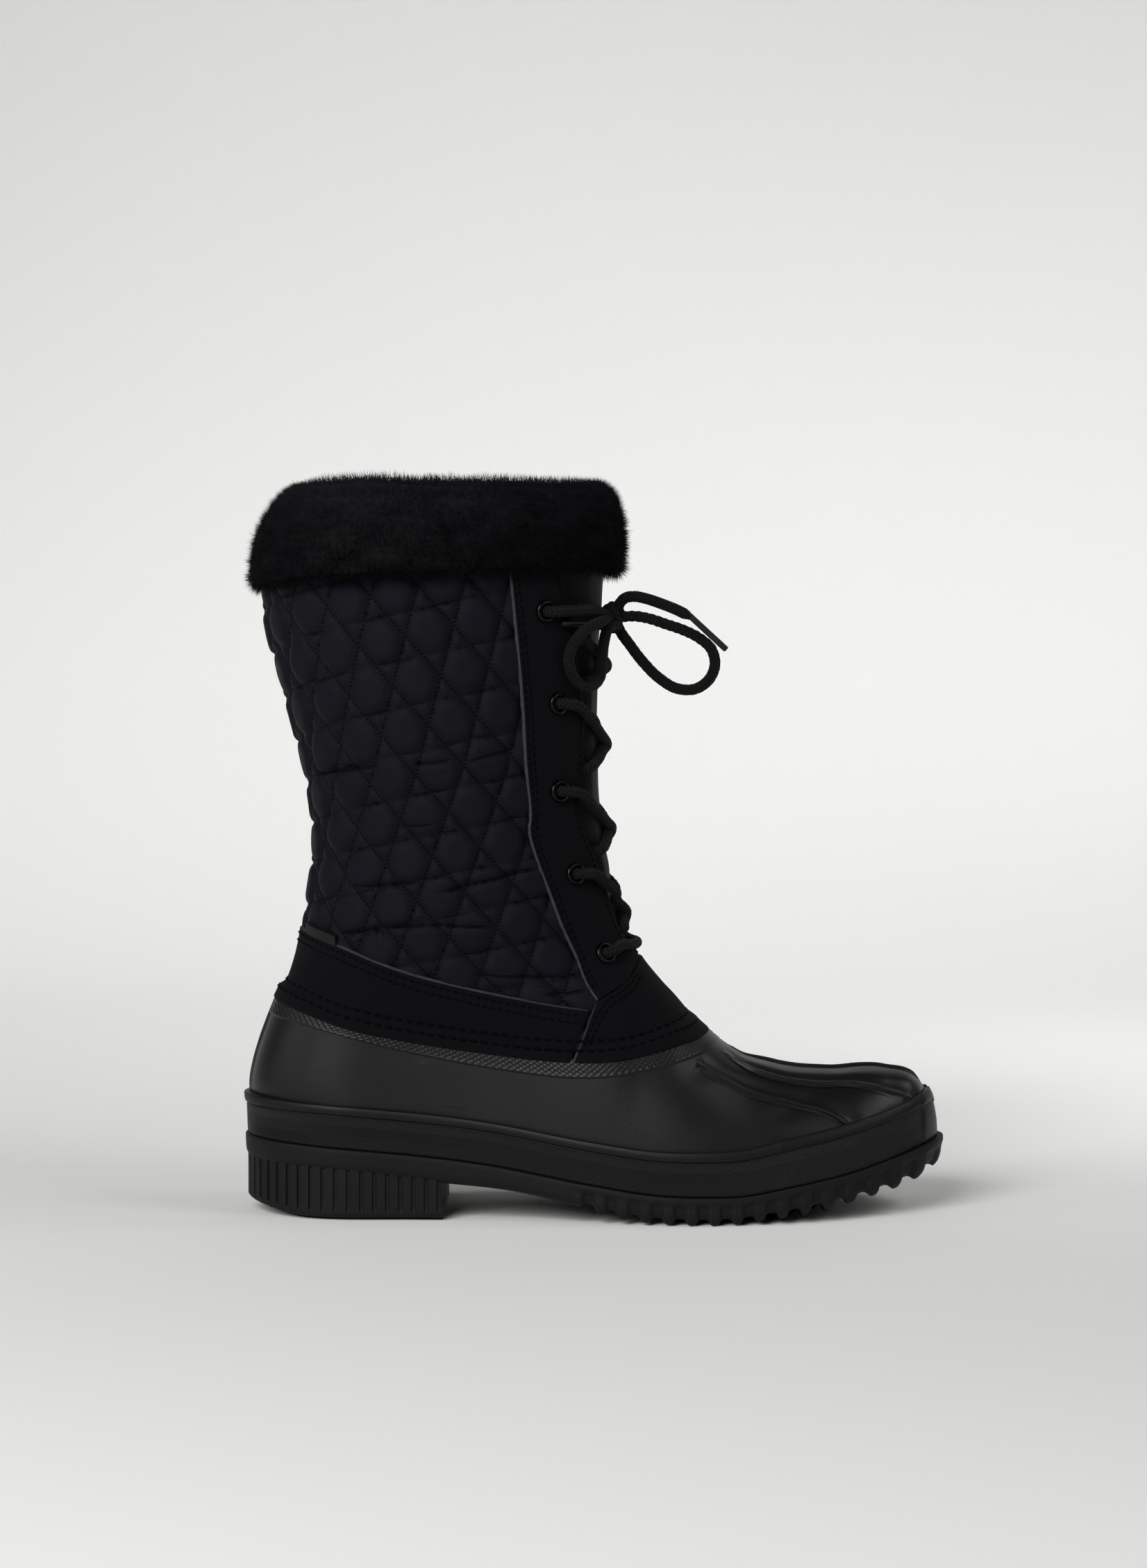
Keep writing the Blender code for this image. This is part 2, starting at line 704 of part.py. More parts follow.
def make_heel():
    """The heel block, ribbed round its side, standing in the plate's bead."""
    station, height = band_ring(0.5, (1 - np.cos(np.pi * np.linspace(0.0, 1.0, 181))) / 2)
    base, out = [], []
    for side, order in ((-1.0, 1), (1.0, -1)):
        point, way = skin_frame(station, height, side)
        keep = station < HEEL_BREAST
        base.append(point[keep][::order, :2])
        out.append(way[keep][::order, :2])
    base = np.concatenate([base[0][:-1], base[1]])
    out = np.concatenate([out[0][:-1], out[1]])
    edge = base + 4.4 * out
    along = np.concatenate([[0.0], np.cumsum(np.linalg.norm(np.diff(edge, axis=0), axis=1))])
    pitch = along[-1] / (HEEL_RIBS + 0.2)
    places, raised = [], []
    for rib in range(HEEL_RIBS):
        for share, up in ((0.0, 0.0), (0.2, 0.0), (0.38, 1.0), (0.82, 1.0)):
            places.append((rib + share) * pitch)
            raised.append(up)
    places.append(along[-1])
    raised.append(0.0)
    raised = np.array(raised)
    spot = np.stack([np.interp(places, along, base[:, k]) for k in (0, 1)], axis=1)
    way = np.stack([np.interp(places, along, out[:, k]) for k in (0, 1)], axis=1)
    loops = []
    for height, offset, ribs in ((0.0, 2.6, 0.0), (2.6, 4.7, 0.0), (3.8, 4.1, 1.0), (None, 4.4, 1.0)):
        flat = spot + (offset + ribs * RIB_DEPTH * raised)[:, None] * way
        level = sole_top(flat[:, 0]) - BEAD_HEIGHT + 0.7 if height is None else np.full(len(flat), height)
        loops.append(np.column_stack([flat, level]))
    return make_loft("heel_block", loops, "tread_rubber", False)


def make_insole():
    station, height = band_ring(0.5)
    lower = both_sides((station, height), -WALL - 1.6)
    lower = lower[:-1]
    upper = lower + np.array([0.0, 0.0, INSOLE_THICK])
    half = COLUMNS
    points = np.concatenate([lower, upper])
    count = len(lower)
    faces = []
    for j in range(half):
        a, b = j, j + 1
        c, d = (2 * half + 1 - b) % count, (2 * half + 1 - a) % count
        faces.append((a, b, c, d))
        faces.append((count + d, count + c, count + b, count + a))
    faces += [(j, (j + 1) % count, count + (j + 1) % count, count + j) for j in range(count)]
    return make_object("insole", points, faces, "insole_felt")


def panel(lower, upper, rows, from_back):
    """Stations and heights between two edges: straight at the seam, true to the boot's back or front."""
    edge = back_station if from_back else front_station
    low_step, high_step = lower[0] - edge(lower[1]), upper[0] - edge(upper[1])
    follow = np.linspace(0.0, 1.0, len(low_step))
    grid = []
    for share in rows:
        height = mix(lower[1], upper[1], share)
        along_edge = edge(height) + mix(low_step, high_step, share)
        grid.append((mix(mix(lower[0], upper[0], share), along_edge, follow), height))
    return grid


def make_leather(name, lower, upper, from_back):
    """A leather piece round the back or the front, lapped over the shell's rim along its lower edge."""
    rows = (0.0, 0.14, 0.26, 0.6, 1.0)
    lapped = (1.0, 1.0, 0.0, 0.0, 0.0)
    grid = panel(lower, upper, rows, from_back)
    outer = [both_sides(ring, mix(LEATHER_OUT, LAP_OUT, lap)) for ring, lap in zip(grid, lapped)]
    inner = [both_sides(ring, mix(LEATHER_IN, LAP_IN, lap)) for ring, lap in zip(grid, lapped)]
    return make_wall(name, outer, inner, "nubuck")


def make_band():
    spread = 1 - np.cos(np.pi / 2 * np.linspace(1.0, 0.0, 13))
    low_station = mix(TOPLINE["station"][0], 127.4, spread)
    low_height = topline(low_station)
    low_station[-1] = back_station(low_height[-1])
    high_station = mix(BAND_TOP["station"][0], BAND_TOP["station"][-1], spread)
    high_height = smooth_curve(BAND_TOP["station"], BAND_TOP["height"])(high_station)
    high_station[-1] = back_station(high_height[-1])
    return make_leather("counter_band", (low_station, low_height), (high_station, high_height), True)


def make_vamp():
    spread = 1 - np.cos(np.pi / 2 * np.linspace(1.0, 0.0, 10))
    low_station = mix(TOPLINE["station"][-1], 128.2, spread)
    low_height = topline(low_station)
    low_station[-1] = front_station(low_height[-1])
    high_station = mix(VAMP_TOP["station"][-1], VAMP_TOP["station"][0], spread)
    high_height = smooth_curve(VAMP_TOP["station"], VAMP_TOP["height"])(high_station) - 0.5
    high_station[-1] = front_station(high_height[-1])
    return make_leather("vamp", (low_station, low_height), (high_station, high_height), False)


def make_eyestay(name, side):
    count = 13
    at = np.linspace(0.0, 1.0, count)
    arc = dense_line(np.stack([VAMP_TOP["station"], VAMP_TOP["height"]], axis=1), 5)
    arc[-1] = EYESTAY["front"][0], EYESTAY["height_front"][0]
    row = np.linspace(0.0, 1.0, len(EYESTAY))
    edge = {key: smooth_curve(row, EYESTAY[key])(at) for key in EYESTAY.dtype.names}
    across = np.linspace(0.0, 1.0, 5)
    stations, heights = [], []
    for i in range(count):
        height = mix(edge["height_back"][i], edge["height_front"][i], across)
        behind_back = front_station(edge["height_back"][i]) - edge["back"][i]
        behind_front = front_station(edge["height_front"][i]) - edge["front"][i]
        stations.append(front_station(height) - mix(behind_back, behind_front, across))
        heights.append(height)
    stations, heights = np.array(stations), np.array(heights)
    fade = np.clip(1 - at / 0.16, 0.0, 1.0)[:, None]
    stations = stations + fade * (arc[:, 0] - stations[0])
    heights = heights + fade * (arc[:, 1] - heights[0])
    outer = skin(stations, heights, side, LEATHER_OUT)
    inner = skin(stations, heights, side, LEATHER_IN + 0.1)
    return make_wall(name, outer, inner, "nubuck")


def make_tongue():
    """A strip behind the throat: forward between its edges, and tucked under them."""
    heights = np.array([106.0, 112.0, 120.0, 134.0, 150.0, 168.0, 190.0, 214.0, 238.0, TONGUE_TOP])
    across = np.array([-1.3, -1.1, -0.86, -0.62, -0.3, 0.0, 0.3, 0.62, 0.86, 1.1, 1.3])
    outer, inner = [], []
    for height in heights:
        tucked = -WALL - mix(1.9, 1.0, smooth_step(height, 106.0, 128.0))
        half = throat_half(height)
        forward = smooth_step(height, 113.0, 128.0)
        raised = 1 - smooth_step(np.abs(across), 0.6, 0.85)
        offset = mix(tucked, -0.6, forward * raised)
        outer.append(front_point(across * half, height, offset))
        inner.append(front_point(across * half, height, offset - TONGUE_THICK))
    return make_wall("tongue", outer, inner, "tongue_cloth")


def make_cuff():
    """Folded fur round the collar; locks stand out of it and hang below its hem."""
    columns = 2 * (COLUMNS + 1)
    turn = np.arange(columns)
    loops = []
    for i, row in enumerate(CUFF):
        height = np.full(COLUMNS + 1, row["height"])
        station = at_share((1 + np.cos(np.pi * np.linspace(0.0, 1.0, COLUMNS + 1))) / 2, height)
        lock = row["lock"] * (0.6 * np.sin(turn * 2.4 + 1.7 * i) + 0.5 * np.sin(turn * 1.1 + 2.9 * i))
        lock[COLUMNS + 1] = lock[COLUMNS]
        lock[-1] = lock[0]
        loop = both_sides((station, height), row["offset"] + lock)
        hem = 1.6 if row["height"] < 250.0 else 0.4
        loop[:, 2] += hem * lock
        loops.append(loop[:-1])
    return make_ring("fur_cuff", loops, "fur")


def make_eyelet(name, station, height, side):
    """A flanged ring whose barrel goes through the eyestay."""
    section = [
        (EYELET_HOLE, 0.9), (EYELET_HOLE, 3.2), (3.8, 3.5), (EYELET_FLANGE, 2.4), (EYELET_HOLE + 0.4, 2.4),
        (EYELET_HOLE + 0.4, 0.9),
    ]
    point, out = skin_frame(station, height, side)
    along = np.cross(out, np.array([0.0, 0.0, 1.0]))
    along /= np.linalg.norm(along)
    up = np.cross(along, out)
    turn = 2 * np.pi * np.arange(7) / 7
    loops = []
    for radius, lift in section:
        loops.append(point + lift * out + radius * (np.outer(np.cos(turn), along) + np.outer(np.sin(turn), up)))
    return make_ring(name, loops, "black_metal")


def make_punch(side):
    """Five pins that cut the eyelet holes of one side."""
    pins = []
    for row in EYELETS:
        point, out = skin_frame(row["station"], row["height"], side)
        pins.append(make_tube("pin", [point - 7 * out, point + 5 * out], HOLE_RADIUS, "black_metal", 6))
    return joined("punch", pins)


def eyelet_side(index):
    """How far to the side an eyelet is."""
    row = EYELETS[index]
    return math.sqrt(half_width_squared(row["station"], row["height"]))


def throat_half(height):
    """Half the throat's opening at a height."""
    edge = np.array(throat_edge(min(height, 250.0)))
    return math.sqrt(max(float(half_width_squared(edge, np.array(height))), 0.0))


def lace_offset(distance, height):
    """How far out the lace's centre runs: over the eyestay at the side, on the tongue in the middle."""
    half = throat_half(height)
    return mix(2.4, LEATHER_OUT + 0.5 + LACE_RADIUS, smooth_step(abs(distance), half - 7.0, half - 1.0))


def make_cross(index):
    """Two strands from one pair of eyelets down to the edges beside the next pair, joined where they cross."""
    upper, lower = EYELETS["height"][index], EYELETS["height"][index + 1]
    start = eyelet_side(index) - EYELET_FLANGE - 1.0
    if index == 0:
        upper = upper - 10.0
        start = throat_half(upper) - LACE_RADIUS - 1.2
    end = throat_half(lower + 7.0) - LACE_RADIUS - 1.2
    distance = np.linspace(-start, end, 9)
    share = (distance + start) / (start + end)
    height = mix(upper, lower + 8.5, share)
    strands = []
    for sign in (1.0, -1.0):
        path = []
        for side, level in zip(distance, height):
            offset = 2.4 if side > 0 or index == 0 else lace_offset(side, level)
            path.append(front_point(np.array(sign * side), level, offset))
        strands.append(make_tube("lace_cross_%d" % (index + 1), path, LACE_RADIUS, "lace_cord", 6))
    combine(strands[0], strands[1], "UNION")
    strands[1].name = "strand"
    strands[0].name = "lace_cross_%d" % (index + 1)
    return strands[0]


def make_bar():
    """The lowest stretch, straight across between the last pair of eyelets."""
    start = eyelet_side(4) - EYELET_FLANGE - 0.8
    distance = np.linspace(-start, start, 9)
    height = np.full(9, EYELETS["height"][4]) + 2.0
    path = front_point(distance, height, LEATHER_OUT + 0.6 + LACE_RADIUS)
    return make_tube("lace_bar", path, LACE_RADIUS, "lace_cord", 7)


def at_knot(toward):
    """The place on the knot, a little clear of it, that faces a point."""
    way = np.asarray(toward) - np.array(KNOT_CENTRE)
    way = way / np.linalg.norm(way)
    reach = 1 / np.linalg.norm(way / np.array(KNOT_RADII))
    return np.array(KNOT_CENTRE) + (reach + KNOT_GAP) * way


def from_knot(path):
    return [at_knot(path[0]), *path]


def loop_on_knot(path):
    return [at_knot(path[0]), *path, at_knot(path[-1])]


def make_lead(name, side):
    """From the top eyelet to the knot."""
    row = EYELETS[0]
    half = throat_half(row["height"])
    distance = side * np.array([eyelet_side(0) - EYELET_FLANGE - 1.0, half + 1.5, half - 5.0])
    height = row["height"] + np.array([0.0, 0.4, 1.0])
    path = front_point(distance, height, np.array([4.65, 4.7, 5.6]))
    path = dense_line([*path, at_knot(path[-1])], 8)
    return make_tube(name, path, LACE_RADIUS, "lace_cord", 7)


def on_boot(rows):
    return front_point(rows["side"], rows["height"], rows["offset"])


def hanging(rows):
    return np.stack([rows["station"], rows["side"], rows["height"]], axis=1)


def make_cord(name, points, radius, material_name):
    """A round cord along a line, as a curve with closed ends."""
    curve = bpy.data.curves.new(name, "CURVE")
    curve.dimensions = "3D"
    curve.bevel_depth = radius * MM
    curve.bevel_resolution = 2
    curve.use_fill_caps = True
    spline = curve.splines.new("POLY")
    path = placed(points)
    spline.points.add(len(path) - 1)
    for point, place in zip(spline.points, path):
        point.co = (*place, 1.0)
    curve.materials.append(material(material_name))
    made = bpy.data.objects.new(name, curve)
    bpy.context.collection.objects.link(made)
    return made


def make_knot():
    turn = 2 * np.pi * np.arange(9) / 9
    loops = []
    for level in (-0.94, -0.6, 0.0, 0.6, 0.94):
        ring = math.sqrt(1 - level * level)
        flat = np.stack([np.cos(turn) * ring, np.sin(turn) * ring, np.full(9, level)], axis=1)
        loops.append(np.array(KNOT_CENTRE) + flat * np.array(KNOT_RADII))
    return make_loft("lace_knot", loops, "lace_cord")


def make_tab():
    """A folded cloth tab caught in the top of the leather band."""
    low_station, high_station = np.array([27.6, 33.0, 38.6]), np.array([27.2, 32.6, 38.4])
    band = smooth_curve(BAND_TOP["station"], BAND_TOP["height"])
    low = band(low_station) + 0.5
    high = low + 6.2
    outer = [skin(low_station, low, -1.0, 2.4), skin(high_station, high, -1.0, 2.8)]
    inner = [skin(low_station, low, -1.0, 1.0), skin(high_station, high, -1.0, 1.0)]
    return make_wall("label_tab", outer, inner, "tab_cloth")


def clear_scene():
    for made in list(bpy.data.objects):
        bpy.data.objects.remove(made)


def main():
    clear_scene()
    make_upper()
    make_shell()
    make_foxing()
    make_outsole()
    make_insole()
    make_band()
    make_vamp()
    make_tongue()
    make_cuff()
    make_tab()
    for name, side in (("lateral", -1.0), ("medial", 1.0)):
        eyestay = make_eyestay("eyestay_" + name, side)
        punch = make_punch(side)
        combine(eyestay, punch, "DIFFERENCE")
        for number, row in enumerate(EYELETS, 1):
            make_eyelet("eyelet_%s_%d" % (name, number), row["station"], row["height"], side)
        make_lead("lace_lead_" + name, side)
    for index in range(4):
        make_cross(index)
    make_bar()
    make_knot()
    make_cord("lace_loop_side", loop_on_knot(on_boot(LOOP_SIDE)), LACE_RADIUS, "lace_cord")
    make_cord("lace_loop_front", loop_on_knot(hanging(LOOP_FRONT)), LACE_RADIUS, "lace_cord")
    make_cord("lace_end_front", from_knot(hanging(END_FRONT)), LACE_RADIUS, "lace_cord")
    make_cord("lace_end_side", on_boot(END_SIDE), LACE_RADIUS, "lace_cord")
    make_cord("aglet_front", hanging(AGLET_FRONT), AGLET_RADIUS, "aglet_plastic")
    make_cord("aglet_side", on_boot(AGLET_SIDE), AGLET_RADIUS, "aglet_plastic")


main()
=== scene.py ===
import math

import bmesh
import bpy
import numpy as np
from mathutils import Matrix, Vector


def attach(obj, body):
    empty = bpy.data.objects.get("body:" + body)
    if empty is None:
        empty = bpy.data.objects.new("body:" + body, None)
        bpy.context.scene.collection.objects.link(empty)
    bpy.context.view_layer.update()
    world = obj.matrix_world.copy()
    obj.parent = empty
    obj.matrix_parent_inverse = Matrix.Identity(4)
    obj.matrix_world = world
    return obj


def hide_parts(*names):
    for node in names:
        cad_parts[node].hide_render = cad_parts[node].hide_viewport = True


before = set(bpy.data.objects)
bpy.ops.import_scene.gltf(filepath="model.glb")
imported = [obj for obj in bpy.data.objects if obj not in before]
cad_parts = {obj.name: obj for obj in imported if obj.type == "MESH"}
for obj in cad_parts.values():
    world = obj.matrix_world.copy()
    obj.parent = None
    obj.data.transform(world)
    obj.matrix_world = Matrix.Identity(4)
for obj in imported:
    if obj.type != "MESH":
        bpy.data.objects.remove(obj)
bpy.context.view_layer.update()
print("frame loaded")

mm = 0.001
weldGap = 0.002  # mm; points nearer than this become one
heelCentre = 43.0  # station of the model's origin, in mm from the back of the heel


def rows(columns, values):
    return np.array(values, dtype=[(name, float) for name in columns.split()])


# The boot's skin, as in the part: station from heel to toe, height from the floor, side -1 outer, +1 inner
last = {
    "collarHeight": 278.0, "toeStart": 196.0, "toeTip": 265.6, "toePower": 2.3, "heelRound": 40.0,
    "footRound": 2.4, "legRound": 2.2, "legStart": 62.0, "legFull": 118.0, "wall": 3.0,
    "frontLine": rows("station height", [
        (265.5, 22.0), (265.3, 34.0), (263.4, 42.5), (258.0, 48.6), (250.0, 51.8), (240.0, 52.6),
        (228.0, 52.0), (215.0, 52.6), (203.0, 55.2), (194.0, 59.0), (186.0, 64.2), (178.0, 70.8),
        (170.0, 78.4), (161.0, 88.0), (152.5, 98.8), (147.8, 110.0), (144.4, 121.0), (140.8, 136.5),
        (138.2, 152.0), (137.2, 170.0), (136.6, 195.0), (137.4, 222.0), (139.2, 245.0), (140.5, 262.0),
        (139.5, 284.0)]),
    "backLine": rows("height station", [
        (8.0, 6.2), (30.0, 6.2), (40.0, 5.8), (50.0, 5.0), (56.0, 6.0), (64.0, 8.2), (72.0, 11.0),
        (80.0, 14.2), (92.0, 19.4), (104.0, 22.6), (120.0, 24.6), (136.0, 26.8), (150.0, 26.9),
        (162.0, 25.6), (178.0, 22.2), (194.0, 18.1), (210.0, 13.6), (226.0, 9.4), (240.0, 7.8),
        (256.0, 8.6), (268.0, 11.5), (284.0, 16.5)]),
    "plan": rows("station halfWidth centre", [
        (0.0, 30.0, 0.0), (40.0, 30.5, 0.0), (75.0, 31.0, 0.3), (105.0, 33.5, -0.4), (140.0, 39.5, -1.6),
        (172.0, 43.6, -1.2), (200.0, 44.0, 1.0), (230.0, 42.8, 4.2), (266.0, 41.0, 7.5)]),
    "legWidth": rows("height halfWidth", [
        (50.0, 41.0), (80.0, 40.0), (100.0, 39.0), (120.0, 39.5), (150.0, 41.5), (180.0, 45.0),
        (210.0, 48.0), (240.0, 50.0), (284.0, 50.0)]),
    "soleLine": rows("station top", [
        (-2.0, 30.6), (45.0, 27.0), (94.0, 22.0), (136.0, 15.0), (160.0, 11.6), (178.0, 10.9),
        (192.0, 11.2), (209.0, 14.2), (230.0, 18.2), (251.0, 23.8), (266.0, 28.2), (274.0, 30.2)]),
    "topline": rows("station height", [
        (14.6, 81.0), (26.0, 77.8), (38.6, 73.8), (56.0, 70.0), (76.0, 66.6), (97.0, 63.6), (114.0, 61.6),
        (128.0, 60.8), (141.0, 60.8), (154.0, 62.2), (165.0, 64.4), (174.0, 66.6), (180.4, 68.8)]),
    "throat": rows("height station", [
        (99.2, 151.6), (104.5, 147.6), (112.5, 143.4), (122.0, 140.2), (137.0, 135.6), (152.0, 129.8),
        (160.0, 129.4), (171.5, 130.0), (184.0, 130.8), (198.0, 130.6), (222.0, 127.4), (250.0, 121.0)]),
    "lowUpTo": 121.0, "steepBehind": 224.0, "frontSlope": 2.6, "edgeGap": 0.05,
    "thin": 0.55, "instep": (165.0, 177.0, 192.0, 206.0), "instepHeight": (50.0, 60.0), "shellFoot": 17.2,
    "rimBack": 15.2, "rimFront": 178.7, "lapDepth": 1.6, "throatFoot": 99.0, "throatBack": 118.0, "throatTop": 250.0,
}


def smoothCurve(xs, ys):
    xs, ys = np.asarray(xs, float), np.asarray(ys, float)
    slopes = np.gradient(ys, xs)

    def curve(x):
        x = np.clip(x, xs[0], xs[-1])
        i = np.clip(np.searchsorted(xs, x) - 1, 0, len(xs) - 2)
        step = xs[i + 1] - xs[i]
        t = (x - xs[i]) / step
        start = (1 + 2 * t) * (1 - t) ** 2 * ys[i] + t * (1 - t) ** 2 * step * slopes[i]
        end = t * t * (3 - 2 * t) * ys[i + 1] + t * t * (t - 1) * step * slopes[i + 1]
        return start + end

    return curve


def lengths(points):
    return np.concatenate([[0.0], np.cumsum(np.linalg.norm(np.diff(points, axis=0), axis=1))])


def denseLine(points, count):
    points = np.asarray(points, float)
    along = lengths(points)
    at = np.linspace(0.0, along[-1], count)
    return np.stack([smoothCurve(along, points[:, k])(at) for k in range(points.shape[1])], axis=1)


def evenLine(points, spacing):
    points = np.asarray(points, float)
    along = lengths(points)
    at = np.linspace(0.0, along[-1], max(int(round(along[-1] / spacing)), 2) + 1)
    return np.stack([np.interp(at, along, points[:, k]) for k in range(points.shape[1])], axis=1)


def smoothStep(x, start, end):
    t = np.clip((x - start) / (end - start), 0.0, 1.0)
    return t * t * (3 - 2 * t)


def mix(a, b, t):
    return a + (b - a) * t


def bell(x, width):
    return np.exp(-((x / width) ** 2))


def paired(table, *names):
    return np.stack([table[name] for name in names], axis=1)


frontPath = denseLine(paired(last["frontLine"], "station", "height"), 900)
risingPath = frontPath[: int(np.argmin(frontPath[:, 0])) + 1]
lowPath = risingPath[risingPath[:, 1] < last["lowUpTo"]][::-1]
steepPath = frontPath[frontPath[:, 0] < last["steepBehind"]]
backStation = smoothCurve(last["backLine"]["height"], last["backLine"]["station"])
planHalf = smoothCurve(last["plan"]["station"], last["plan"]["halfWidth"])
planCentre = smoothCurve(last["plan"]["station"], last["plan"]["centre"])
legHalf = smoothCurve(last["legWidth"]["height"], last["legWidth"]["halfWidth"])
soleTop = smoothCurve(last["soleLine"]["station"], last["soleLine"]["top"])
topline = smoothCurve(last["topline"]["station"], last["topline"]["height"])
throatEdge = smoothCurve(last["throat"]["height"], last["throat"]["station"])


def frontStation(height):
    return np.interp(height, steepPath[:, 1], steepPath[:, 0])


def topHeight(station):
    behind = np.maximum(lowPath[0, 0] - station, 0.0)
    return np.interp(station, lowPath[:, 0], lowPath[:, 1]) + last["frontSlope"] * behind


def legShare(height):
    return smoothStep(height, last["legStart"], last["legFull"])


def meet(a, b):
    return np.where((a > 0) & (b > 0), a * b, np.minimum(a, b))


def halfSquared(station, height):
    fromBack = np.minimum((station - backStation(height)) / last["heelRound"], 1.0)
    heel = 1 - (1 - fromBack) ** 2
    ahead = np.clip((station - last["toeStart"]) / (last["toeTip"] - last["toeStart"]), 0.0, None)
    low = soleTop(station)
    rise = np.clip((height - low) / (topHeight(station) - low), 0.0, None)
    foot = meet(meet(heel, 1 - ahead ** last["toePower"]), 1 - rise ** last["footRound"])
    front, back = frontStation(height), backStation(height)
    across = np.abs((2 * station - front - back) / (front - back))
    leg = legHalf(height) ** 2 * (1 - across ** last["legRound"])
    return mix(planHalf(station) ** 2 * foot, leg, legShare(height))


def centreLine(station, height):
    return planCentre(station) * (1 - legShare(height))


def skin(station, height, side, offset=0.0):
    given = [np.asarray(v, float) for v in (station, height, side, offset)]
    station, height, side, offset = np.broadcast_arrays(*given)
    step = 0.4  # mm each way for the slopes
    # the layers lie flat on each other over the instep
    begins, full, fades, ends = last["instep"]
    instep = smoothStep(station, begins, full) * (1 - smoothStep(station, fades, ends))
    instep = instep * smoothStep(height, *last["instepHeight"])
    offset = offset * (1 - last["thin"] * instep)
    half = side * np.sqrt(np.maximum(halfSquared(station, height), 0.0))
    slopeX = (halfSquared(station + step, height) - halfSquared(station - step, height)) / (2 * step)
    slopeZ = (halfSquared(station, height + step) - halfSquared(station, height - step)) / (2 * step)
    turn = (centreLine(station + step, height) - centreLine(station - step, height)) / (2 * step)
    normal = np.stack([-slopeX - 2 * half * turn, 2 * half, -slopeZ], axis=-1)
    normal /= np.maximum(np.linalg.norm(normal, axis=-1, keepdims=True), 1e-9)
    return np.stack([station, centreLine(station, height) + half, height], axis=-1) + offset[..., None] * normal


def solve(inside, outside, share):
    inside = np.asarray(inside, float) + np.zeros_like(outside)
    outside = np.asarray(outside, float) + np.zeros_like(inside)
    for _ in range(44):
        middle = (inside + outside) / 2
        good = share(middle) > 0
        inside, outside = np.where(good, middle, inside), np.where(good, outside, middle)
    return inside


def frontPoint(distance, height, offset):
    distance = np.asarray(distance, float)
    height = np.asarray(height, float) + np.zeros_like(distance)
    front = frontStation(height)
    inner = mix(backStation(height), front, 0.55)
    station = solve(inner, front, lambda x: halfSquared(x, height) - distance**2)
    return skin(station, height, np.where(distance < 0, -1.0, 1.0), offset)


def spread(count):
    return (1 - np.cos(np.pi * np.linspace(0.0, 1.0, count))) / 2


def bandRing(rise, around):
    front = solve(200.0, np.array(276.0), lambda x: halfSquared(x, soleTop(x) + rise))
    back = np.array(6.0)
    for _ in range(30):
        back = backStation(soleTop(back) + rise)
    station = mix(front, back, around)
    return station, soleTop(station) + rise


def shellRim(station):
    share = (station - last["rimBack"]) / (last["rimFront"] - last["rimBack"])
    ends = last["topline"]["station"]
    return topline(mix(ends[0], ends[-1], share)) + last["lapDepth"]


def shellRing(share, around):
    toeRing = bandRing(last["shellFoot"], around)
    if share <= 0:
        return toeRing
    first = float(np.argmin(np.abs(frontPath[:, 0] - toeRing[0][0])))
    final = float(np.argmin(np.abs(frontPath[:, 0] - last["rimFront"])))
    at = mix(first, final, share)
    frontX, frontZ = (np.interp(at, np.arange(len(frontPath)), frontPath[:, k]) for k in (0, 1))
    backHeight = mix(toeRing[1][-1], last["topline"]["height"][0] + last["lapDepth"], share)
    back = backStation(backHeight)
    station = mix(frontX, back, around)
    ahead = (station - back) / (frontX - back)
    up = share + (1 - share) * np.clip(ahead, 0.0, 1.0) ** (5.0 / math.sqrt(share))
    low = soleTop(station) + last["shellFoot"]
    high = np.where(station < last["rimFront"], shellRim(station), topHeight(station))
    return station, np.where(ahead >= 1, frontZ, np.where(ahead <= 0, backHeight, mix(low, high, up)))


def forwardShare(station, height):
    return (station - backStation(height)) / (frontStation(height) - backStation(height))


def atShare(share, height):
    return mix(backStation(height), frontStation(height), share)


def thereAndBack(values):
    return np.concatenate([values, values[::-1]])


def bothSides(ring, offset):
    # along the outer side and back along the inner
    station, height = ring
    side = np.concatenate([-np.ones(len(station)), np.ones(len(station))])
    return skin(thereAndBack(station), thereAndBack(height), side, offset)


def keptInside(station, height, atFront):
    # off the outline by a hair, so that no two columns fall together there
    return np.clip(station, backStation(height) + last["edgeGap"], frontStation(height) - atFront)


def waves(x, y, size, seed):
    # repeatable noise: five sine waves, each with its own direction and length
    total = np.zeros(np.broadcast(x, y).shape)
    for k in range(5):
        turn = seed * 1.7 + k * 2.4
        across = x * math.cos(turn) + y * math.sin(turn)
        total += np.sin(across * 2 * np.pi / (size * (0.7 + 0.17 * k)) + seed + 1.3 * k)
    return total / 5


def linear(code):
    values = [int(code[i: i + 2], 16) / 255 for i in (1, 3, 5)]
    return tuple(v / 12.92 if v <= 0.04045 else ((v + 0.055) / 1.055) ** 2.4 for v in values) + (1.0,)


def feed(node, inputs):
    # an input takes a value, or a link from the socket that is given
    for name, value in inputs.items():
        if isinstance(value, bpy.types.NodeSocket):
            node.id_data.links.new(value, node.inputs[name])
        else:
            node.inputs[name].default_value = value


def addNode(tree, kind, output, inputs=(), **settings):
    # gives the output that is named, or all of them
    node = tree.nodes.new("ShaderNode" + kind)
    for name, value in settings.items():
        setattr(node, name, value)
    feed(node, inputs if isinstance(inputs, dict) else dict(enumerate(inputs)))
    return node.outputs if output is None else node.outputs[output]


def newMaterial(name, colour, roughness, **sockets):
    made = bpy.data.materials.new(name)
    made.use_nodes = True
    shader = made.node_tree.nodes["Principled BSDF"]
    feed(shader, {"Base Color": linear(colour), "Roughness": roughness})
    feed(shader, {socket.replace("_", " "): value for socket, value in sockets.items()})
    return made, made.node_tree, shader


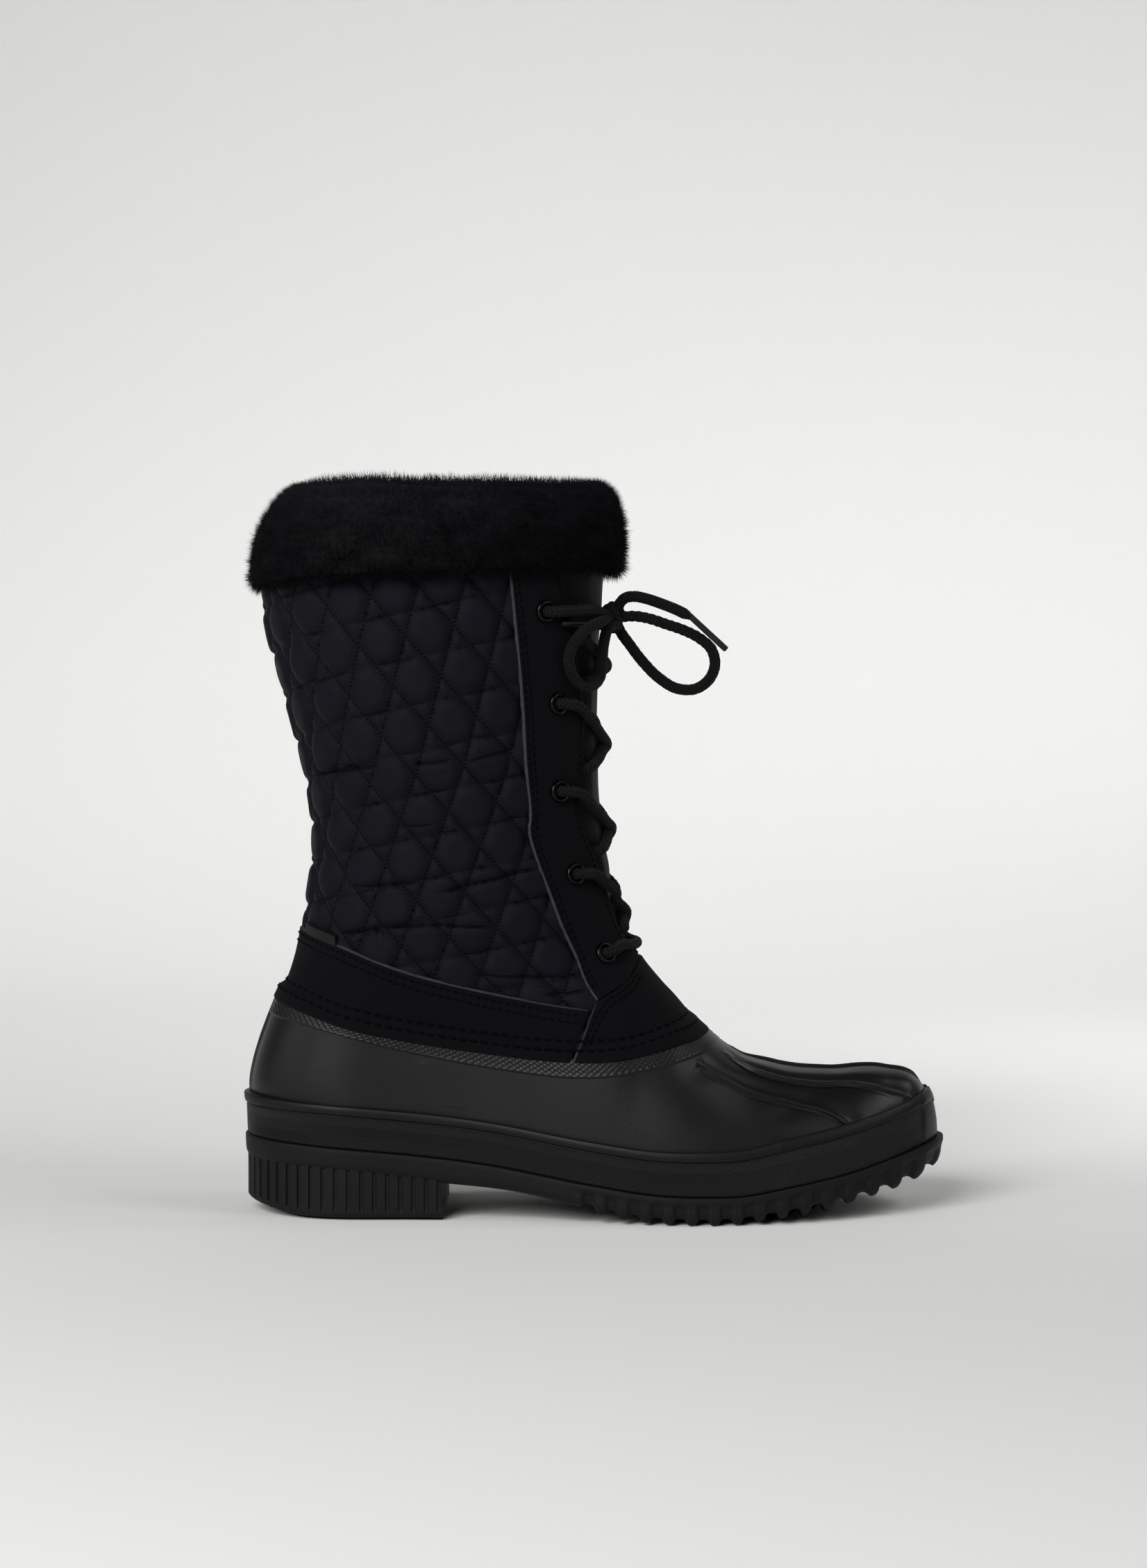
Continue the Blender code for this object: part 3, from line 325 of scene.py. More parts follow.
def vary(tree, shader, vector, size, dark, light, low, high):
    # clouds of tone and gloss; the size is in the vector's own unit, m for a place and mm for a flat layer
    noise = addNode(tree, "TexNoise", "Fac", {"Vector": vector, "Scale": 1.0 / size, "Detail": 4.0})
    tone = addNode(tree, "Mix", 2, {0: noise, 6: linear(dark), 7: linear(light)}, data_type="RGBA")
    rough = addNode(tree, "MapRange", "Result", {
        "Value": noise, "From Min": 0.3, "From Max": 0.7, "To Min": low, "To Max": high})
    feed(shader, {"Base Color": tone, "Roughness": rough})
    return noise, tone


def newVaried(name, colour, roughness, tones, **sockets):
    made, tree, shader = newMaterial(name, colour, roughness, **sockets)
    place = addNode(tree, "TexCoord", "Object")
    noise, tone = vary(tree, shader, place, *tones)
    return made, tree, shader, place, noise, tone


def flatParts(tree, layer):
    return addNode(tree, "SeparateXYZ", None, [addNode(tree, "UVMap", "UV", uv_map=layer)])


def lineShare(tree, gap, start, end):
    # 1 nearer to a line than the start, 0 further than the end, in mm
    away = addNode(tree, "Math", 0, [gap], operation="ABSOLUTE")
    return addNode(tree, "MapRange", "Result", {
        "Value": away, "From Min": start, "From Max": end, "To Min": 1.0, "To Max": 0.0},
        interpolation_type="SMOOTHSTEP")


def ripple(tree, value, size):
    # a sine wave with its crests so far apart
    turned = addNode(tree, "Math", 0, [value, 2 * math.pi / size], operation="MULTIPLY")
    return addNode(tree, "Math", 0, [turned], operation="SINE")


def addRelief(tree, shader, height, distance, grain=None):
    # a bump of the height given, or of a fine grain in the place given as (place, grain size in m, detail)
    if grain:
        place, size, detail = grain
        height = addNode(tree, "TexNoise", "Fac", {"Vector": place, "Scale": 1 / size, "Detail": detail})
    feed(shader, {"Normal": addNode(tree, "Bump", "Normal", {"Height": height, "Distance": distance})})


# Satin PVC rubber, injection moulded: an even dark skin with a fine dull grain, and painted shade beside each toe
# ridge
shellRubber, tree, shader, place, _, toned = newVaried(
    "moulded_satin_rubber", "#0b0b0c", 0.4, (0.03, "#0a0a0c", "#0d0d0e", 0.36, 0.44), Specular_IOR_Level=0.27)
grain = addNode(tree, "TexNoise", "Fac", {"Vector": place, "Scale": 1 / 0.0006, "Detail": 2.0})
ridged = flatParts(tree, "Ridges")
crest, slope, foot = (
    addNode(tree, "Math", 0, [ridged["Y"], lineShare(tree, ridged["X"], start, end)], operation="MULTIPLY")
    for start, end in ((0.3, 1.3), (0.7, 1.7), (1.7, 3.4)))
hollow = addNode(tree, "Math", 0, [foot, slope], operation="SUBTRACT")
# painted shade: the rubber's colour darkens toward #030303 in the hollow beside each ridge
dark = addNode(tree, "Math", 0, [hollow, 0.75], operation="MULTIPLY")
paintedShade = addNode(tree, "Mix", 2, {0: dark, 6: toned, 7: linear("#030303")}, data_type="RGBA")
feed(shader, {"Base Color": paintedShade})
raised = addNode(tree, "Math", 0, [hollow, -0.5, crest], operation="MULTIPLY_ADD")
raised = addNode(tree, "Math", 0, [grain, 0.08, raised], operation="MULTIPLY_ADD")
addRelief(tree, shader, raised, 0.0005)

# Foxing rubber, calendered with a knurl: pips about 0.6 mm apart, drawn 1.0 by 1.2 mm so that they show
foxingRubber, tree, shader = newMaterial("knurled_foxing_rubber", "#0f0f10", 0.5, Specular_IOR_Level=0.2)
parts = flatParts(tree, "UVMap")
pips = addNode(tree, "Math", 0, [ripple(tree, parts["X"], 1.0), ripple(tree, parts["Y"], 1.2)], operation="MULTIPLY")
addRelief(tree, shader, pips, 0.00016)
smoothFoxing = newVaried("smooth_foxing_rubber", "#0e0e0f", 0.46, (0.02, "#0c0c0d", "#101011", 0.42, 0.52),
                         Specular_IOR_Level=0.18)[0]

# Tread rubber, compression moulded: greyer and drier than the shell, with a dusty bloom
treadRubber, tree, shader, place, *_ = newVaried(
    "dry_tread_rubber", "#0e0e0f", 0.62, (0.012, "#0b0b0c", "#121213", 0.55, 0.7), Specular_IOR_Level=0.16)
addRelief(tree, shader, None, 0.00010, (place, 0.0012, 3.0))

# Nubuck, buffed cowhide dyed black: takes in nearly all light, with a soft cloudy nap
nubuck, tree, shader, place, *_ = newVaried(
    "buffed_nubuck", "#08080b", 0.95, (0.003, "#040407", "#0c0c0f", 0.9, 1.0), Specular_IOR_Level=0.08,
    Sheen_Weight=0.012, Sheen_Roughness=0.5)
addRelief(tree, shader, None, 0.00012, (place, 0.0005, 3.0))

# Raw edge of cut leather: paler and dusty, a thin grey line
cutEdge = newVaried("raw_leather_edge", "#2c2c2e", 0.9, (0.0015, "#1d1d20", "#3e3e41", 0.85, 0.95),
                    Specular_IOR_Level=0.15)[0]

# Nylon taffeta, woven and quilted: blue-black with a dull sheen; threads drawn at 0.5 mm so that they show; painted
# shade darkens it along the stitched lines and in the creases
quiltNylon, tree, shader = newMaterial("quilted_nylon_taffeta", "#0a0a11", 0.6, Specular_IOR_Level=0.08,
                                       Sheen_Weight=0.02, Sheen_Roughness=0.4)
flat = addNode(tree, "UVMap", "UV", uv_map="UVMap")
toned = vary(tree, shader, flat, 9.0, "#08080e", "#0c0c15", 0.55, 0.68)[1]
parts, cells, folded = (flatParts(tree, layer) for layer in ("UVMap", "Lattice", "Folds"))
slanted = addNode(tree, "Math", 0, [cells["X"], cells["Y"]], operation="SUBTRACT")
gaps = []
for share, wide in ((cells["X"], 17.6), (slanted, 17.0)):  # mm between two stitched lines of a set
    away = addNode(tree, "Math", 0, [share, 0.5], operation="PINGPONG")
    gaps.append(addNode(tree, "Math", 0, [away, wide], operation="MULTIPLY"))
seam = lineShare(tree, addNode(tree, "Math", 0, gaps, operation="MINIMUM"), 0.1, 0.7)
stitch = ripple(tree, cells["Y"], 1 / 11.5)  # one each 1.7 mm
stitch = addNode(tree, "Math", 0, [stitch, 0.4, 0.42], operation="MULTIPLY_ADD")
# painted shade along the stitched lines, dotted at each stitch
stitchShade = addNode(tree, "Math", 0, [seam, stitch], operation="MULTIPLY")
# painted shade in the creases and the deep folds
crease = addNode(tree, "Math", 0, [lineShare(tree, folded["X"], 0.1, 0.75), folded["Y"]], operation="MULTIPLY")
sunk = addNode(tree, "Math", 0, [stitchShade, crease], operation="MAXIMUM")
# painted shade: the cloth's colour darkens toward #020203 along the stitched lines and in the creases and folds
paintedShade = addNode(tree, "Mix", 2, {0: sunk, 6: toned, 7: linear("#020203")}, data_type="RGBA")
feed(shader, {"Base Color": paintedShade})
weave = addNode(tree, "Math", 0, [ripple(tree, parts[axis], 0.5) for axis in "XY"], operation="MULTIPLY")
lowered = addNode(tree, "Math", 0, [sunk, -1.0], operation="MULTIPLY")
addRelief(tree, shader, addNode(tree, "Math", 0, [weave, 0.05, lowered], operation="MULTIPLY_ADD"), 0.0005)

# Softshell cloth of the tongue: close and smooth, a little navy
tongueCloth = newVaried("smooth_tongue_softshell", "#0c0d12", 0.7, (0.012, "#0a0b10", "#0f1015", 0.62, 0.78),
                        Specular_IOR_Level=0.15, Sheen_Weight=0.03, Sheen_Roughness=0.45)[0]

# Lining fleece, brushed: soft grey-black with no shine
liningFleece, tree, shader = newMaterial("brushed_lining_fleece", "#18181a", 1.0, Sheen_Weight=0.2,
                                         Sheen_Roughness=0.6)
addRelief(tree, shader, None, 0.0008, (addNode(tree, "TexCoord", "Object"), 0.0025, 4.0))

# Acrylic fur, sheared: deep black, with a painted highlight that lightens it towards the top of the cuff
furPile, tree, shader, place, _, toned = newVaried(
    "sheared_acrylic_fur", "#06060a", 0.75, (0.024, "#020203", "#0b0b10", 0.65, 0.85), Specular_IOR_Level=0.1)
height = addNode(tree, "SeparateXYZ", "Z", [place])
# painted highlight: the colour lightens toward #1b1b22 over the cuff's top, where light falls from above
high = addNode(tree, "MapRange", "Result", {
    "Value": height, "From Min": 0.262, "From Max": 0.284, "To Min": 0.0, "To Max": 0.6},
    interpolation_type="SMOOTHSTEP")
paintedTopLight = addNode(tree, "Mix", 2, {0: high, 6: toned, 7: linear("#1b1b22")}, data_type="RGBA")
feed(shader, {"Base Color": paintedTopLight})

# Polyester lace, braided round: matte, in columns of small slanting plaits 1.2 mm long, with painted shade between
# them
laceBraid, tree, shader = newMaterial("braided_polyester_lace", "#0c0c0d", 0.8, Specular_IOR_Level=0.15,
                                      Sheen_Weight=0.02, Sheen_Roughness=0.4)
parts = flatParts(tree, "UVMap")
around = addNode(tree, "Math", 0, [parts["Y"], 4.0], operation="MULTIPLY")
column = addNode(tree, "Math", 0, [around, 1.0], operation="PINGPONG")
along = addNode(tree, "Math", 0, [parts["X"], 1.2], operation="DIVIDE")
slanted = addNode(tree, "Math", 0, [column, 0.75, along], operation="MULTIPLY_ADD")
plait = addNode(tree, "Math", 0, [ripple(tree, slanted, 1.0), 0.5, 0.5], operation="MULTIPLY_ADD")
groove = addNode(tree, "Math", 0, [ripple(tree, column, 2.0), 0.6, 0.4], operation="MULTIPLY_ADD")
plaited = addNode(tree, "Math", 0, [plait, groove], operation="MULTIPLY")
# painted shade: the colour darkens toward #030304 in the grooves between the plaits
tone = addNode(tree, "Mix", 2, {0: plaited, 6: linear("#030304"), 7: linear("#121214")}, data_type="RGBA")
feed(shader, {"Base Color": tone})
addRelief(tree, shader, plaited, 0.0005)

# Bonded polyester thread: black, and made darker than the nap as painted shade of the stitch rows drawn down into the
# leather
threadPoly = newVaried("bonded_polyester_thread", "#040405", 0.9, (0.002, "#030304", "#08080a", 0.85, 0.95),
                       Specular_IOR_Level=0.04)[0]

# Black nickel plate on stamped brass: dark mirror with small bright glints
blackNickel = newVaried("black_nickel_eyelet", "#1e1e20", 0.22, (0.003, "#1a1a1c", "#242427", 0.18, 0.28),
                        Metallic=1.0)[0]

# Acetate film, heat shrunk on the lace tip: smooth and glossy
agletFilm = newVaried("shrunk_acetate_aglet", "#08080a", 0.34, (0.002, "#060607", "#0c0c0e", 0.3, 0.42),
                      Specular_IOR_Level=0.3)[0]

# Needled felt insole: matte, mottled dark grey
insoleFelt, tree, shader, _, mottle, _ = newVaried(
    "needled_insole_felt", "#202022", 0.95, (0.002, "#19191b", "#29292c", 0.9, 1.0))
addRelief(tree, shader, mottle, 0.0005)

# Woven satin tab: plain, a little shiny across its threads
tabSatin = newVaried("woven_satin_tab", "#0b0b0e", 0.5, (0.0012, "#08080b", "#101013", 0.45, 0.6),
                     Specular_IOR_Level=0.2)[0]
print("materials made")


def placed(points):
    return (np.asarray(points, float) - np.array([heelCentre, 0.0, 0.0])) * mm


def makePiece(name, points, faces, materials, slots=None, uv=None, weld=0.0, smooth=60.0, mend=True, layers=()):
    mesh = bpy.data.meshes.new(name)
    mesh.from_pydata(placed(points).tolist(), [], faces.tolist() if isinstance(faces, np.ndarray) else faces)
    for material in materials:
        mesh.materials.append(material)
    if slots is not None:
        mesh.polygons.foreach_set("material_index", np.asarray(slots, np.int32))
    corner = np.zeros(len(mesh.loops), np.int32)
    mesh.loops.foreach_get("vertex_index", corner)
    for title, flat in ([] if uv is None else [("UVMap", uv)]) + list(layers):
        layer = mesh.uv_layers.new(name=title)
        layer.uv.foreach_set("vector", np.asarray(flat, np.float32)[corner].ravel())
    if mend:
        work = bmesh.new()
        work.from_mesh(mesh)
        if weld:
            bmesh.ops.remove_doubles(work, verts=work.verts, dist=weld * mm)
        bmesh.ops.recalc_face_normals(work, faces=work.faces)
        work.to_mesh(mesh)
        work.free()
    mesh.shade_smooth()
    if smooth:
        mesh.set_sharp_from_angle(angle=math.radians(smooth))
    piece = bpy.data.objects.new(name, mesh)
    bpy.context.scene.collection.objects.link(piece)
    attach(piece, "root")
    return piece


def gridFaces(count, columns, base=0, flip=False):
    i, j = np.meshgrid(np.arange(count - 1), np.arange(columns - 1), indexing="ij")
    near = base + i * columns + j
    quads = np.stack([near, near + 1, near + columns + 1, near + columns], axis=-1).reshape(-1, 4)
    return quads[:, ::-1] if flip else quads


def coarse(count, innerCount):
    # the outer rows that an inside with fewer rows is made of
    return np.round(np.linspace(0, count - 1, innerCount)).astype(int)


def rimFaces(kept, columns, apart):
    # the strips that join outside and inside at the top, the bottom and, where they lie apart, both ends
    total = (kept[-1] + 1) * columns
    top = np.arange(columns)
    found = []
    for line, partner in ((top[::-1], top[::-1] + total),
                          (top + total - columns, top + total + (len(kept) - 1) * columns)):
        found += np.stack([line[:-1], line[1:], partner[1:], partner[:-1]], axis=1).tolist()
    for edge, way in ((0, 1), (columns - 1, -1)):
        for k, (low, high) in enumerate(zip(kept[:-1], kept[1:])):
            if not apart[low: high + 1].any():
                continue
            strip = [row * columns + edge for row in range(low, high + 1)]
            strip += [total + (k + 1) * columns + edge, total + k * columns + edge]
            found.append(strip[::way])
    return found


def arcUv(grid, middle=None):
    grid = np.asarray(grid)
    across = np.concatenate([np.zeros((len(grid), 1)),
                             np.cumsum(np.linalg.norm(np.diff(grid, axis=1), axis=2), axis=1)], axis=1)
    if middle is not None:
        across = across - across[:, middle: middle + 1]
    up = np.concatenate([np.zeros((1, grid.shape[1])),
                         np.cumsum(np.linalg.norm(np.diff(grid, axis=0), axis=2), axis=0)], axis=0)
    return np.stack([across, up], axis=-1)


def wallPiece(name, outer, inner, materials, slotOf=None, innerSlot=0, uv=None, layers=(), kept=None):
    outer, inner = np.asarray(outer, float), np.asarray(inner, float)
    count, columns = outer.shape[:2]
    kept = coarse(count, len(inner)) if kept is None else kept
    skins = [gridFaces(count, columns), gridFaces(len(inner), columns, count * columns, True)]
    apart = np.linalg.norm(outer[:, 0] - outer[:, -1], axis=1) > 2 * weldGap
    faces = np.concatenate(skins).tolist() + rimFaces(kept, columns, apart)
    outerSlots = np.zeros(len(skins[0]), int) if slotOf is None else np.asarray(slotOf).ravel()
    slots = np.concatenate([outerSlots, np.full(len(faces) - len(outerSlots), innerSlot)])
    flat = arcUv(outer) if uv is None else uv
    layers = [(title, np.concatenate([v.reshape(-1, 2), v[kept].reshape(-1, 2)]))
              for title, v in [("UVMap", flat), *layers]]
    points = np.concatenate([outer.reshape(-1, 3), inner.reshape(-1, 3)])
    return makePiece(name, points, faces, materials, slots, None, weldGap, layers=layers)


def ringPiece(name, loops, materials, slotOf=None):
    loops = np.asarray(loops, float)
    closed = np.concatenate([loops, loops[:1]])
    closed = np.concatenate([closed, closed[:, :1]], axis=1)
    flat = arcUv(closed).reshape(-1, 2)
    faces = gridFaces(*closed.shape[:2])
    slots = None if slotOf is None else np.asarray(slotOf).ravel()
    return makePiece(name, closed.reshape(-1, 3), faces, materials, slots, flat, weldGap, 50.0)


def frames(path):
    path = np.asarray(path, float)
    along = np.gradient(path, axis=0)
    along /= np.linalg.norm(along, axis=1, keepdims=True)
    up = np.array([0.0, 0.0, 1.0]) if abs(along[0][2]) < 0.9 else np.array([0.0, 1.0, 0.0])
    ups = []
    for way in along:
        up = up - way * (up @ way)
        up = up / np.linalg.norm(up)
        ups.append(up)
    ups = np.array(ups)
    return ups, np.cross(along, ups)


def tubeParts(path, radii, sides):
    path = np.asarray(path, float)
    up, other = frames(path)
    turn = 2 * np.pi * np.arange(sides) / sides
    radii = np.broadcast_to(np.asarray(radii, float).reshape(len(np.atleast_1d(radii)), -1), (len(path), sides))
    points = path[:, None] + radii[..., None] * (np.cos(turn)[None, :, None] * up[:, None]
                                                 + np.sin(turn)[None, :, None] * other[:, None])
    j = np.arange(sides)
    faces = []
    for i in range(len(path) - 1):
        faces.append(np.stack([i * sides + j, i * sides + (j + 1) % sides,
                               (i + 1) * sides + (j + 1) % sides, (i + 1) * sides + j], axis=1))
    ends = [list(range(sides))[::-1], list(range((len(path) - 1) * sides, len(path) * sides))]
    return points.reshape(-1, 3), np.concatenate(faces).tolist() + ends


def joinParts(parts):
    points, faces, base = [], [], 0
    for some, found in parts:
        points.append(some)
        faces += [[base + i for i in face] for face in found]
        base += len(some)
    return np.concatenate(points), faces


# Camera: long lens, level with the shaft and tipped down two degrees
cameraSet = {"station": 128.3, "distance": 1350.0, "height": 212.0, "tiltDeg": 1.97, "lens": 79.49, "sensor": 36.0}
cameraData = bpy.data.cameras.new("camera")
cameraData.sensor_fit = "VERTICAL"
cameraData.sensor_height = cameraSet["sensor"]
cameraData.lens = cameraSet["lens"]
cameraData.clip_end = 50.0
camera = bpy.data.objects.new("camera", cameraData)
camera.location = Vector(placed([cameraSet["station"], -cameraSet["distance"], cameraSet["height"]]))
camera.rotation_euler = (math.radians(90 - cameraSet["tiltDeg"]), 0.0, 0.0)
bpy.context.scene.collection.objects.link(camera)
bpy.context.scene.camera = camera

# Lace: a round braid that goes through the eyelets, and a bow
lace = {
    "radius": 2.2, "sides": 18, "step": 0.55, "plait": 2.6, "relief": 0.16, "strands": 8,
    "eyelets": rows("station height", [
        (116.6, 232.4), (121.0, 197.4), (121.6, 164.0), (127.6, 132.0), (139.2, 100.8)]),
    "flange": 4.6, "clear": 1.2, "onLeather": 4.6, "onTongue": (1.3, 2.9), "rising": (122.0, 136.0),
    "bar": (2.6, 4.9), "belowFirst": 10.0, "aboveHole": 7.0, "tucked": -3.2, "over": 1.5, "under": -0.8,
    "crossing": 5.0, "leadLift": (4.75, 4.9, 6.6), "knotCentre": (143.4, -8.4, 230.4),
    "loopSide": rows("side height offset", [
        (-23.7, 228.7, 8.6), (-28.2, 226.2, 8.2), (-31.2, 221.5, 7.2), (-31.9, 215.4, 5.6), (-30.3, 209.3, 4.8),
        (-26.7, 204.7, 4.9), (-21.7, 203.9, 5.4), (-17.7, 207.4, 6.2), (-18.0, 213.9, 7.0), (-18.6, 219.8, 7.6),
        (-17.9, 225.0, 8.0)]),
    "endSide": rows("side height offset", [(-18.6, 227.9, 5.4), (-22.0, 227.9, 5.0), (-26.4, 227.8, 4.8)]),
    "agletSide": rows("side height offset", [(-27.0, 227.8, 4.7), (-31.1, 227.8, 3.8), (-34.2, 227.7, 3.6)]),
    "loopFront": rows("station side height", [
        (152.6, -8.4, 230.8), (157.6, -8.8, 229.9), (164.0, -8.6, 227.8), (171.0, -8.0, 225.4),
        (177.0, -7.0, 222.4), (181.8, -6.0, 218.0), (183.2, -5.0, 212.2), (181.0, -4.2, 206.4),
        (176.0, -4.0, 202.8), (168.6, -4.4, 202.8), (161.4, -5.2, 207.0), (155.2, -6.2, 213.2),
        (150.4, -7.2, 219.4)]),
    "endFront": rows("station side height", [
        (148.4, -11.4, 237.9), (151.8, -12.4, 238.4), (156.0, -13.6, 237.6), (162.0, -14.8, 235.6),
        (168.0, -15.6, 233.2), (173.4, -16.0, 230.4)]),
    "agletFront": rows("station side height", [(173.9, -16.1, 230.1), (187.2, -16.8, 217.8)]),
    "agletRadius": 1.2, "agletStart": 2.6,
}


def plaitRadii(path):
    # two sets of strands wind opposite ways and go over and under each other
    along = lengths(path)[:, None]
    turn = (2 * np.pi * np.arange(lace["sides"]) / lace["sides"])[None]
    half = lace["strands"] / 2
    right = np.cos(half * turn - 2 * np.pi * along / lace["plait"])
    left = np.cos(half * turn + 2 * np.pi * along / lace["plait"])
    ridge = np.maximum(right, left)
    return lace["radius"] - 0.10 + lace["relief"] * (ridge - 0.4)


def lacePath(points):
    return evenLine(denseLine(points, 300), lace["step"])


def lacePiece(name, paths, nodes, drawn=0.0):
    # "drawn" is the length over which the far end narrows to its tip
    sides = lace["sides"]
    parts, flat = [], []
    for path in paths:
        along = lengths(path)
        radii = plaitRadii(path)
        if drawn:
            radii = radii * mix(0.62, 1.0, smoothStep(along[-1] - along, 0.0, drawn))[:, None]
        parts.append(tubeParts(path, radii, sides))
        around = np.abs(2 * np.arange(sides) / sides - 1)
        flat.append(np.stack(np.meshgrid(along, around, indexing="ij"), axis=-1).reshape(-1, 2))
    piece = makePiece(name, *joinParts(parts), [laceBraid], uv=np.concatenate(flat))
    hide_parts(*nodes)
    return piece


def inKnot(toward, share):
    centre = np.array(lace["knotCentre"])
    return centre + share * (np.asarray(toward) - centre)


def turnInKnot(came, leaves):
    # a half turn as wide as the lace itself, for a loop that comes out of the knot where it went in
    centre = np.array(lace["knotCentre"])
    away = centre - (came + leaves) / 2
    away /= np.linalg.norm(away)
    across = leaves - came
    across -= away * (across @ away)
    across /= np.linalg.norm(across)
    radius = lace["radius"] + 0.3
    bend = np.radians([-90.0, -60.0, -30.0, 0.0, 30.0, 60.0, 90.0])
    return centre + radius * (np.outer(np.sin(bend), across) + np.outer(np.cos(bend), away))


def onBoot(table):
    return frontPoint(table["side"], table["height"], table["offset"])


def hanging(table):
    return paired(table, "station", "side", "height")


def makeAglet(name, points):
    back = lace["agletStart"] * (points[1] - points[0]) / np.linalg.norm(points[1] - points[0])
    points = [points[0] - back, *points]
    path = evenLine(denseLine(points, 60), 0.6)
    radii = np.full(len(path), lace["agletRadius"])
    radii[0] *= 1.25
    radii[-1] *= 0.8
    piece = makePiece(name, *tubeParts(path, radii, 14), [agletFilm])
    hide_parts(name)
    return piece


def makeBow(name, nodes, loop, end, turned):
    middle = turnInKnot(loop[-1], end[0]) if turned else [inKnot(loop[-1], 0.3), inKnot(end[0], 0.3)]
    path = lacePath([inKnot(loop[0], 0.25), *loop, *middle, *end])
    piece = lacePiece(name, [path], nodes, 3.0)
    print(name, "length mm", round(float(lengths(path)[-1]), 1))


agletSide = makeAglet("aglet_side", onBoot(lace["agletSide"]))
agletFront = makeAglet("aglet_front", hanging(lace["agletFront"]))
makeBow("lace_bow_side", ["lace_loop_side", "lace_end_side"],
        onBoot(lace["loopSide"]), onBoot(lace["endSide"]), True)
makeBow("lace_bow_front", ["lace_loop_front", "lace_end_front"],
        hanging(lace["loopFront"]), hanging(lace["endFront"]), False)


def throatHalf(height):
    edge = np.array(throatEdge(min(height, last["throatTop"])))
    return math.sqrt(max(float(halfSquared(edge, np.array(height))), 0.0))


def eyeletSide(index):
    row = lace["eyelets"][index]
    return math.sqrt(halfSquared(row["station"], row["height"]))


def throughEyelet(index, sign):
    # up through the hole and over its rim
    row = lace["eyelets"][index]
    lift = np.array([-2.6, 1.0, 4.2])
    station = row["station"] + np.array([-0.6, -0.3, 1.2])
    return [skin(s, row["height"], sign, o) for s, o in zip(station, lift)]


def makeKnot():
    turn = np.linspace(0.0, 2 * np.pi, 40)
    centre = np.array(lace["knotCentre"])
    paths = []
    for tilt, wide, tall in ((0.35, 3.6, 4.2), (-0.9, 3.2, 3.6)):
        ring = np.stack([0.9 * np.sin(2 * turn), wide * np.cos(turn), tall * np.sin(turn)], axis=1)
        spin = np.array([[math.cos(tilt), -math.sin(tilt), 0], [math.sin(tilt), math.cos(tilt), 0], [0, 0, 1]])
        paths.append(evenLine(centre + ring @ spin.T, lace["step"]))
    lacePiece("lace_knot", paths, ["lace_knot"])


def onTongue(height):
    return mix(*lace["onTongue"], smoothStep(height, *lace["rising"]))


def laceOffset(distance, height):
    half = throatHalf(height)
    return mix(onTongue(height), lace["onLeather"], smoothStep(abs(distance), half - 7.0, half - 1.0))


def makeLacing():
    for index in range(4):
        upper, lower = lace["eyelets"]["height"][index], lace["eyelets"]["height"][index + 1]
        start = eyeletSide(index) - lace["flange"] - 1.0
        if index == 0:
            upper = upper - lace["belowFirst"]
            start = throatHalf(upper) - lace["radius"] - lace["clear"]
        end = throatHalf(lower + lace["aboveHole"]) - lace["radius"] - lace["clear"]
        distance = np.linspace(-start, end, 11)
        height = mix(upper - 1.0, lower + 8.5, ((distance + start) / (start + end)) ** 0.85)
        paths = []
        for sign in (1.0, -1.0):
            path = [] if index == 0 else throughEyelet(index, -sign)
            for side, level in zip(distance, height):
                offset = onTongue(level) if side > 0 or index == 0 else laceOffset(side, level)
                over = (lace["over"] if sign > 0 else lace["under"]) * bell(side, lace["crossing"])
                path.append(frontPoint(np.array(sign * side), level, offset + over))
            path.append(frontPoint(np.array(sign * (end + 3.0)), lower + 7.6, lace["tucked"]))
            if index == 0:
                path.insert(0, frontPoint(np.array(-sign * (start + 3.0)), upper + 0.8, lace["tucked"]))
            paths.append(lacePath(path))
        node = "lace_cross_%d" % (index + 1)
        lacePiece(node, paths, [node])
    start = eyeletSide(4) - lace["flange"] - 0.8
    distance = np.linspace(-start, start, 9)
    level = np.full(9, lace["eyelets"]["height"][4]) + 2.0
    middle = frontPoint(distance, level, mix(*lace["bar"], smoothStep(np.abs(distance), start - 8.0, start)))
    path = [*throughEyelet(4, -1.0), *middle, *throughEyelet(4, 1.0)[::-1]]
    lacePiece("lace_bar", [lacePath(path)], ["lace_bar"])
    for name, side in (("lateral", -1.0), ("medial", 1.0)):
        row = lace["eyelets"][0]
        half = throatHalf(row["height"])
        distance = side * np.array([eyeletSide(0) - lace["flange"] - 1.0, half + 1.5, half - 5.0])
        height = row["height"] + np.array([0.0, 0.4, 1.0])
        middle = frontPoint(distance, height, np.array(lace["leadLift"]))
        path = [*throughEyelet(0, side), *middle[1:], inKnot(middle[-1], 0.3)]
        lacePiece("lace_lead_" + name, [lacePath(path)], ["lace_lead_" + name])


makeKnot()
makeLacing()
print("lace made")

# Eyelets: stamped rings rolled over at the rim
eyelet = {"sides": 36, "section": [
    (2.3, -0.6), (2.3, 2.2), (2.45, 2.9), (2.85, 3.4), (3.4, 3.6), (3.95, 3.4), (4.25, 2.9), (4.35, 2.4),
    (4.2, 2.2), (3.0, 2.2), (3.0, -0.6)]}
for name, side in (("lateral", -1.0), ("medial", 1.0)):
    for number, row in enumerate(lace["eyelets"], 1):
        point = skin(row["station"], row["height"], side)
        out = skin(row["station"], row["height"], side, 1.0) - point
        along = np.cross(out, [0.0, 0.0, 1.0])
        along /= np.linalg.norm(along)
        up = np.cross(along, out)
        turn = 2 * np.pi * np.arange(eyelet["sides"]) / eyelet["sides"]
        loops = [point + lift * out + radius * (np.outer(np.cos(turn), along) + np.outer(np.sin(turn), up))
                 for radius, lift in eyelet["section"]]
        node = "eyelet_%s_%d" % (name, number)
        piece = ringPiece(node, loops, [blackNickel])
        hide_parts(node)
print("eyelets made")

